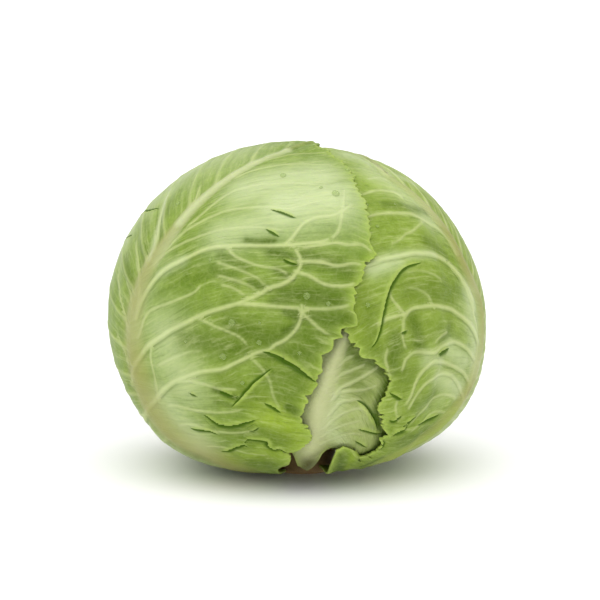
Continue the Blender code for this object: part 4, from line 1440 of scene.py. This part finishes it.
class LETTUCE_OT_back_leaves(bpy.types.Operator):
    """Build the two leaves behind the head"""

    bl_idname = "lettuce.back_leaves"
    bl_label = "Back leaves"

    def execute(self, context):
        deeper = ruled_leaf("leaf_back_right", 4, 129, 150, 78)
        build_leaf(deeper, 120, 56, 56, "back_right_leaf", head_colours(), 3)
        outer = ruled_leaf("leaf_back", 3, -146, 160, 84)
        build_leaf(outer, 130, 60, 60, "back_leaf", head_colours(), 4)
        return {"FINISHED"}


class LETTUCE_OT_front_leaf(bpy.types.Operator):
    """Build the pale leaf in front"""

    bl_idname = "lettuce.front_leaf"
    bl_label = "Front leaf"

    def execute(self, context):
        # the yellower green is a dark olive here, for the painted shade at the base end
        pale = head_colours(
            blade=colour(150, 164, 96), deep=colour(136, 150, 78), light=colour(170, 180, 120),
            rib=colour(186, 190, 142), vein=colour(180, 188, 134), fresh=colour(84, 84, 44),
        )
        build_leaf(front_leaf(), 200, 60, 110, "front_leaf", pale, 5)
        return {"FINISHED"}


class LETTUCE_OT_right_leaf(bpy.types.Operator):
    """Build the leaf on the right"""

    bl_idname = "lettuce.right_leaf"
    bl_label = "Right leaf"

    def execute(self, context):
        # a lighter copy of the blade colours, painted light on this leaf
        sunny = head_colours(blade=colour(126, 148, 52), deep=colour(110, 134, 34))
        build_leaf(right_leaf(), 250, 130, 50, "right_leaf", sunny, 6)
        return {"FINISHED"}


class LETTUCE_OT_left_leaf(bpy.types.Operator):
    """Build the outermost leaf on the left"""

    bl_idname = "lettuce.left_leaf"
    bl_label = "Left leaf"

    def execute(self, context):
        build_leaf(left_leaf(), 250, 44, 150, "left_leaf", head_colours(), 7)
        return {"FINISHED"}


class LETTUCE_OT_stem(bpy.types.Operator):
    """Build the cut stem that the head stands on"""

    bl_idname = "lettuce.stem"
    bl_label = "Stem"

    def execute(self, context):
        top = CENTRE[2] - DROP + HEART_DEPTH - STEM_GAP
        place = tuple(STEM_FOOT + np.array([0, 0, top / 2]))
        bpy.ops.mesh.primitive_cylinder_add(vertices=96, radius=STEM_RADIUS, depth=top, location=place)
        obj = context.object
        obj.name = "cut_stem"
        bpy.ops.object.transform_apply(location=True, rotation=False, scale=False)
        rounding = obj.modifiers.new("Rounding", "BEVEL")
        rounding.width, rounding.segments, rounding.limit_method = 0.0012, 4, "ANGLE"
        obj.data.shade_smooth()
        obj.data.materials.append(stem_material(head_colours()))
        finish_piece(as_plain_mesh(obj), "stem")
        return {"FINISHED"}


# Places in the drawing, with a size, of the droplets on each leaf
DROPLETS = {
    "left_leaf": [
        (334, 197, 1.0), (285, 177, 0.8), (181, 205, 0.7), (306, 298, 0.9), (325, 304, 0.6),
        (235, 321, 0.9), (260, 345, 0.7), (226, 357, 0.9), (298, 353, 0.5), (245, 381, 0.6),
        (344, 172, 0.6), (318, 190, 0.5), (212, 262, 0.5), (188, 344, 0.5), (262, 322, 0.4),
    ],
    "right_leaf": [(364, 204, 0.7), (374, 226, 0.5), (392, 204, 0.4), (450, 260, 0.4), (365, 305, 0.6)],
}


class LETTUCE_OT_droplets(bpy.types.Operator):
    """Set water droplets on the leaves"""

    bl_idname = "lettuce.droplets"
    bl_label = "Droplets"

    def execute(self, context):
        largest = context.scene.lettuce.droplet_size
        places, sizes, facings = [], [], []
        for name, spots in DROPLETS.items():
            mesh = bpy.data.objects[name].data
            from_centre = vertex_places(mesh) - CENTRE
            directions, outside = unit(from_centre), np.linalg.norm(from_centre, axis=1)
            for x, y, size in spots:
                near = directions @ seen((x, y), level=LEFT_LEVEL)[0]
                nearest = int(np.where(near > near.max() - DROPLET_NEARNESS, outside, 0).argmax())
                facing = np.array(mesh.vertices[nearest].normal)
                places.append(CENTRE + from_centre[nearest] + facing * size * largest * DROPLET_REST)
                sizes.append(size * largest)
                facings.append(facing)
        mesh = bpy.data.meshes.new("droplets")
        mesh.from_pydata([tuple(place) for place in places], [], [])
        store(mesh, "size", sizes)
        facing = mesh.attributes.new("facing", "FLOAT_VECTOR", "POINT")
        facing.data.foreach_set("vector", np.array(facings, np.float32).ravel())
        obj = new_object("droplets", mesh)
        apply_tree(obj, droplet_tree(), material=water_material())
        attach(as_plain_mesh(obj), BODY)
        return {"FINISHED"}


class LETTUCE_OT_stage(bpy.types.Operator):
    """Add the floor, the lights and the camera"""

    bl_idname = "lettuce.stage"
    bl_label = "Stage"

    def execute(self, context):
        scene = context.scene
        bpy.ops.mesh.primitive_plane_add(size=8, location=(0, 0, 0))
        floor = context.object
        floor.name = "floor"
        material = new_material("floor_look", {"Base Color": (0.95, 0.95, 0.95, 1), "Roughness": 0.9})[0]
        floor.data.materials.append(material)
        scene.world = studio_world()
        sun = bpy.data.lights.new("top_light", "SUN")
        sun.angle, sun.energy = math.radians(SUN_WIDTH), scene.lettuce.light_power
        new_object("top_light", sun).rotation_euler = Vector(SUN_FROM).to_track_quat("Z", "Y").to_euler()
        camera = new_object("camera", bpy.data.cameras.new("camera"))
        camera.location = VIEW_TARGET + VIEW_BACK * VIEW_DISTANCE
        camera.rotation_euler = Vector(-VIEW_BACK).to_track_quat("-Z", "Y").to_euler()
        camera.data.sensor_width = SENSOR
        camera.data.lens = SENSOR * VIEW_DISTANCE / (2 * DRAWING_MIDDLE[0] * METRES_PER_UNIT)
        scene.camera = camera
        scene.view_settings.view_transform = "Standard"
        return {"FINISHED"}


def studio_world():
    """White walls at the height of the eye and a dimmer ceiling."""
    world = bpy.data.worlds.new("studio")
    world.use_nodes = True
    tree = Tree(world.node_tree)
    height = tree.part(tree.node("ShaderNodeTexCoord", None, output=0), 2)
    background = world.node_tree.nodes["Background"]
    background.inputs["Color"].default_value = (1, 1, 1, 1)
    tree.fill(background.inputs["Strength"], height.ramp(WALL_TOP, CEILING_START, WALLS, CEILING))
    return world


OPERATORS = (
    LETTUCE_OT_heart,
    LETTUCE_OT_back_leaves,
    LETTUCE_OT_front_leaf,
    LETTUCE_OT_right_leaf,
    LETTUCE_OT_left_leaf,
    LETTUCE_OT_stem,
    LETTUCE_OT_droplets,
    LETTUCE_OT_stage,
)


class LETTUCE_PT_panel(bpy.types.Panel):
    """Buttons for the pieces of the lettuce"""

    bl_label = "Iceberg Lettuce"
    bl_idname = "LETTUCE_PT_panel"
    bl_space_type = "VIEW_3D"
    bl_region_type = "UI"
    bl_category = "Lettuce"

    def draw(self, context):
        for group in (context.scene.lettuce, context.scene.lettuce_colours):
            for name in group.__annotations__:
                self.layout.prop(group, name)
        for operator in OPERATORS:
            self.layout.operator(operator.bl_idname)


CLASSES = (LettuceSizes, LettuceColours, *OPERATORS, LETTUCE_PT_panel)


def register():
    """Registers the classes and gives the scene its two groups of properties."""
    for cls in CLASSES:
        bpy.utils.register_class(cls)
    bpy.types.Scene.lettuce = bpy.props.PointerProperty(type=LettuceSizes)
    bpy.types.Scene.lettuce_colours = bpy.props.PointerProperty(type=LettuceColours)


def unregister():
    """Takes all of it away again."""
    del bpy.types.Scene.lettuce_colours
    del bpy.types.Scene.lettuce
    for cls in reversed(CLASSES):
        bpy.utils.unregister_class(cls)


def main():
    """Builds everything."""
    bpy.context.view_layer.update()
    register()
    for operator in OPERATORS:
        getattr(bpy.ops.lettuce, operator.bl_idname.split(".")[1])()


if __name__ == "__main__":
    main()
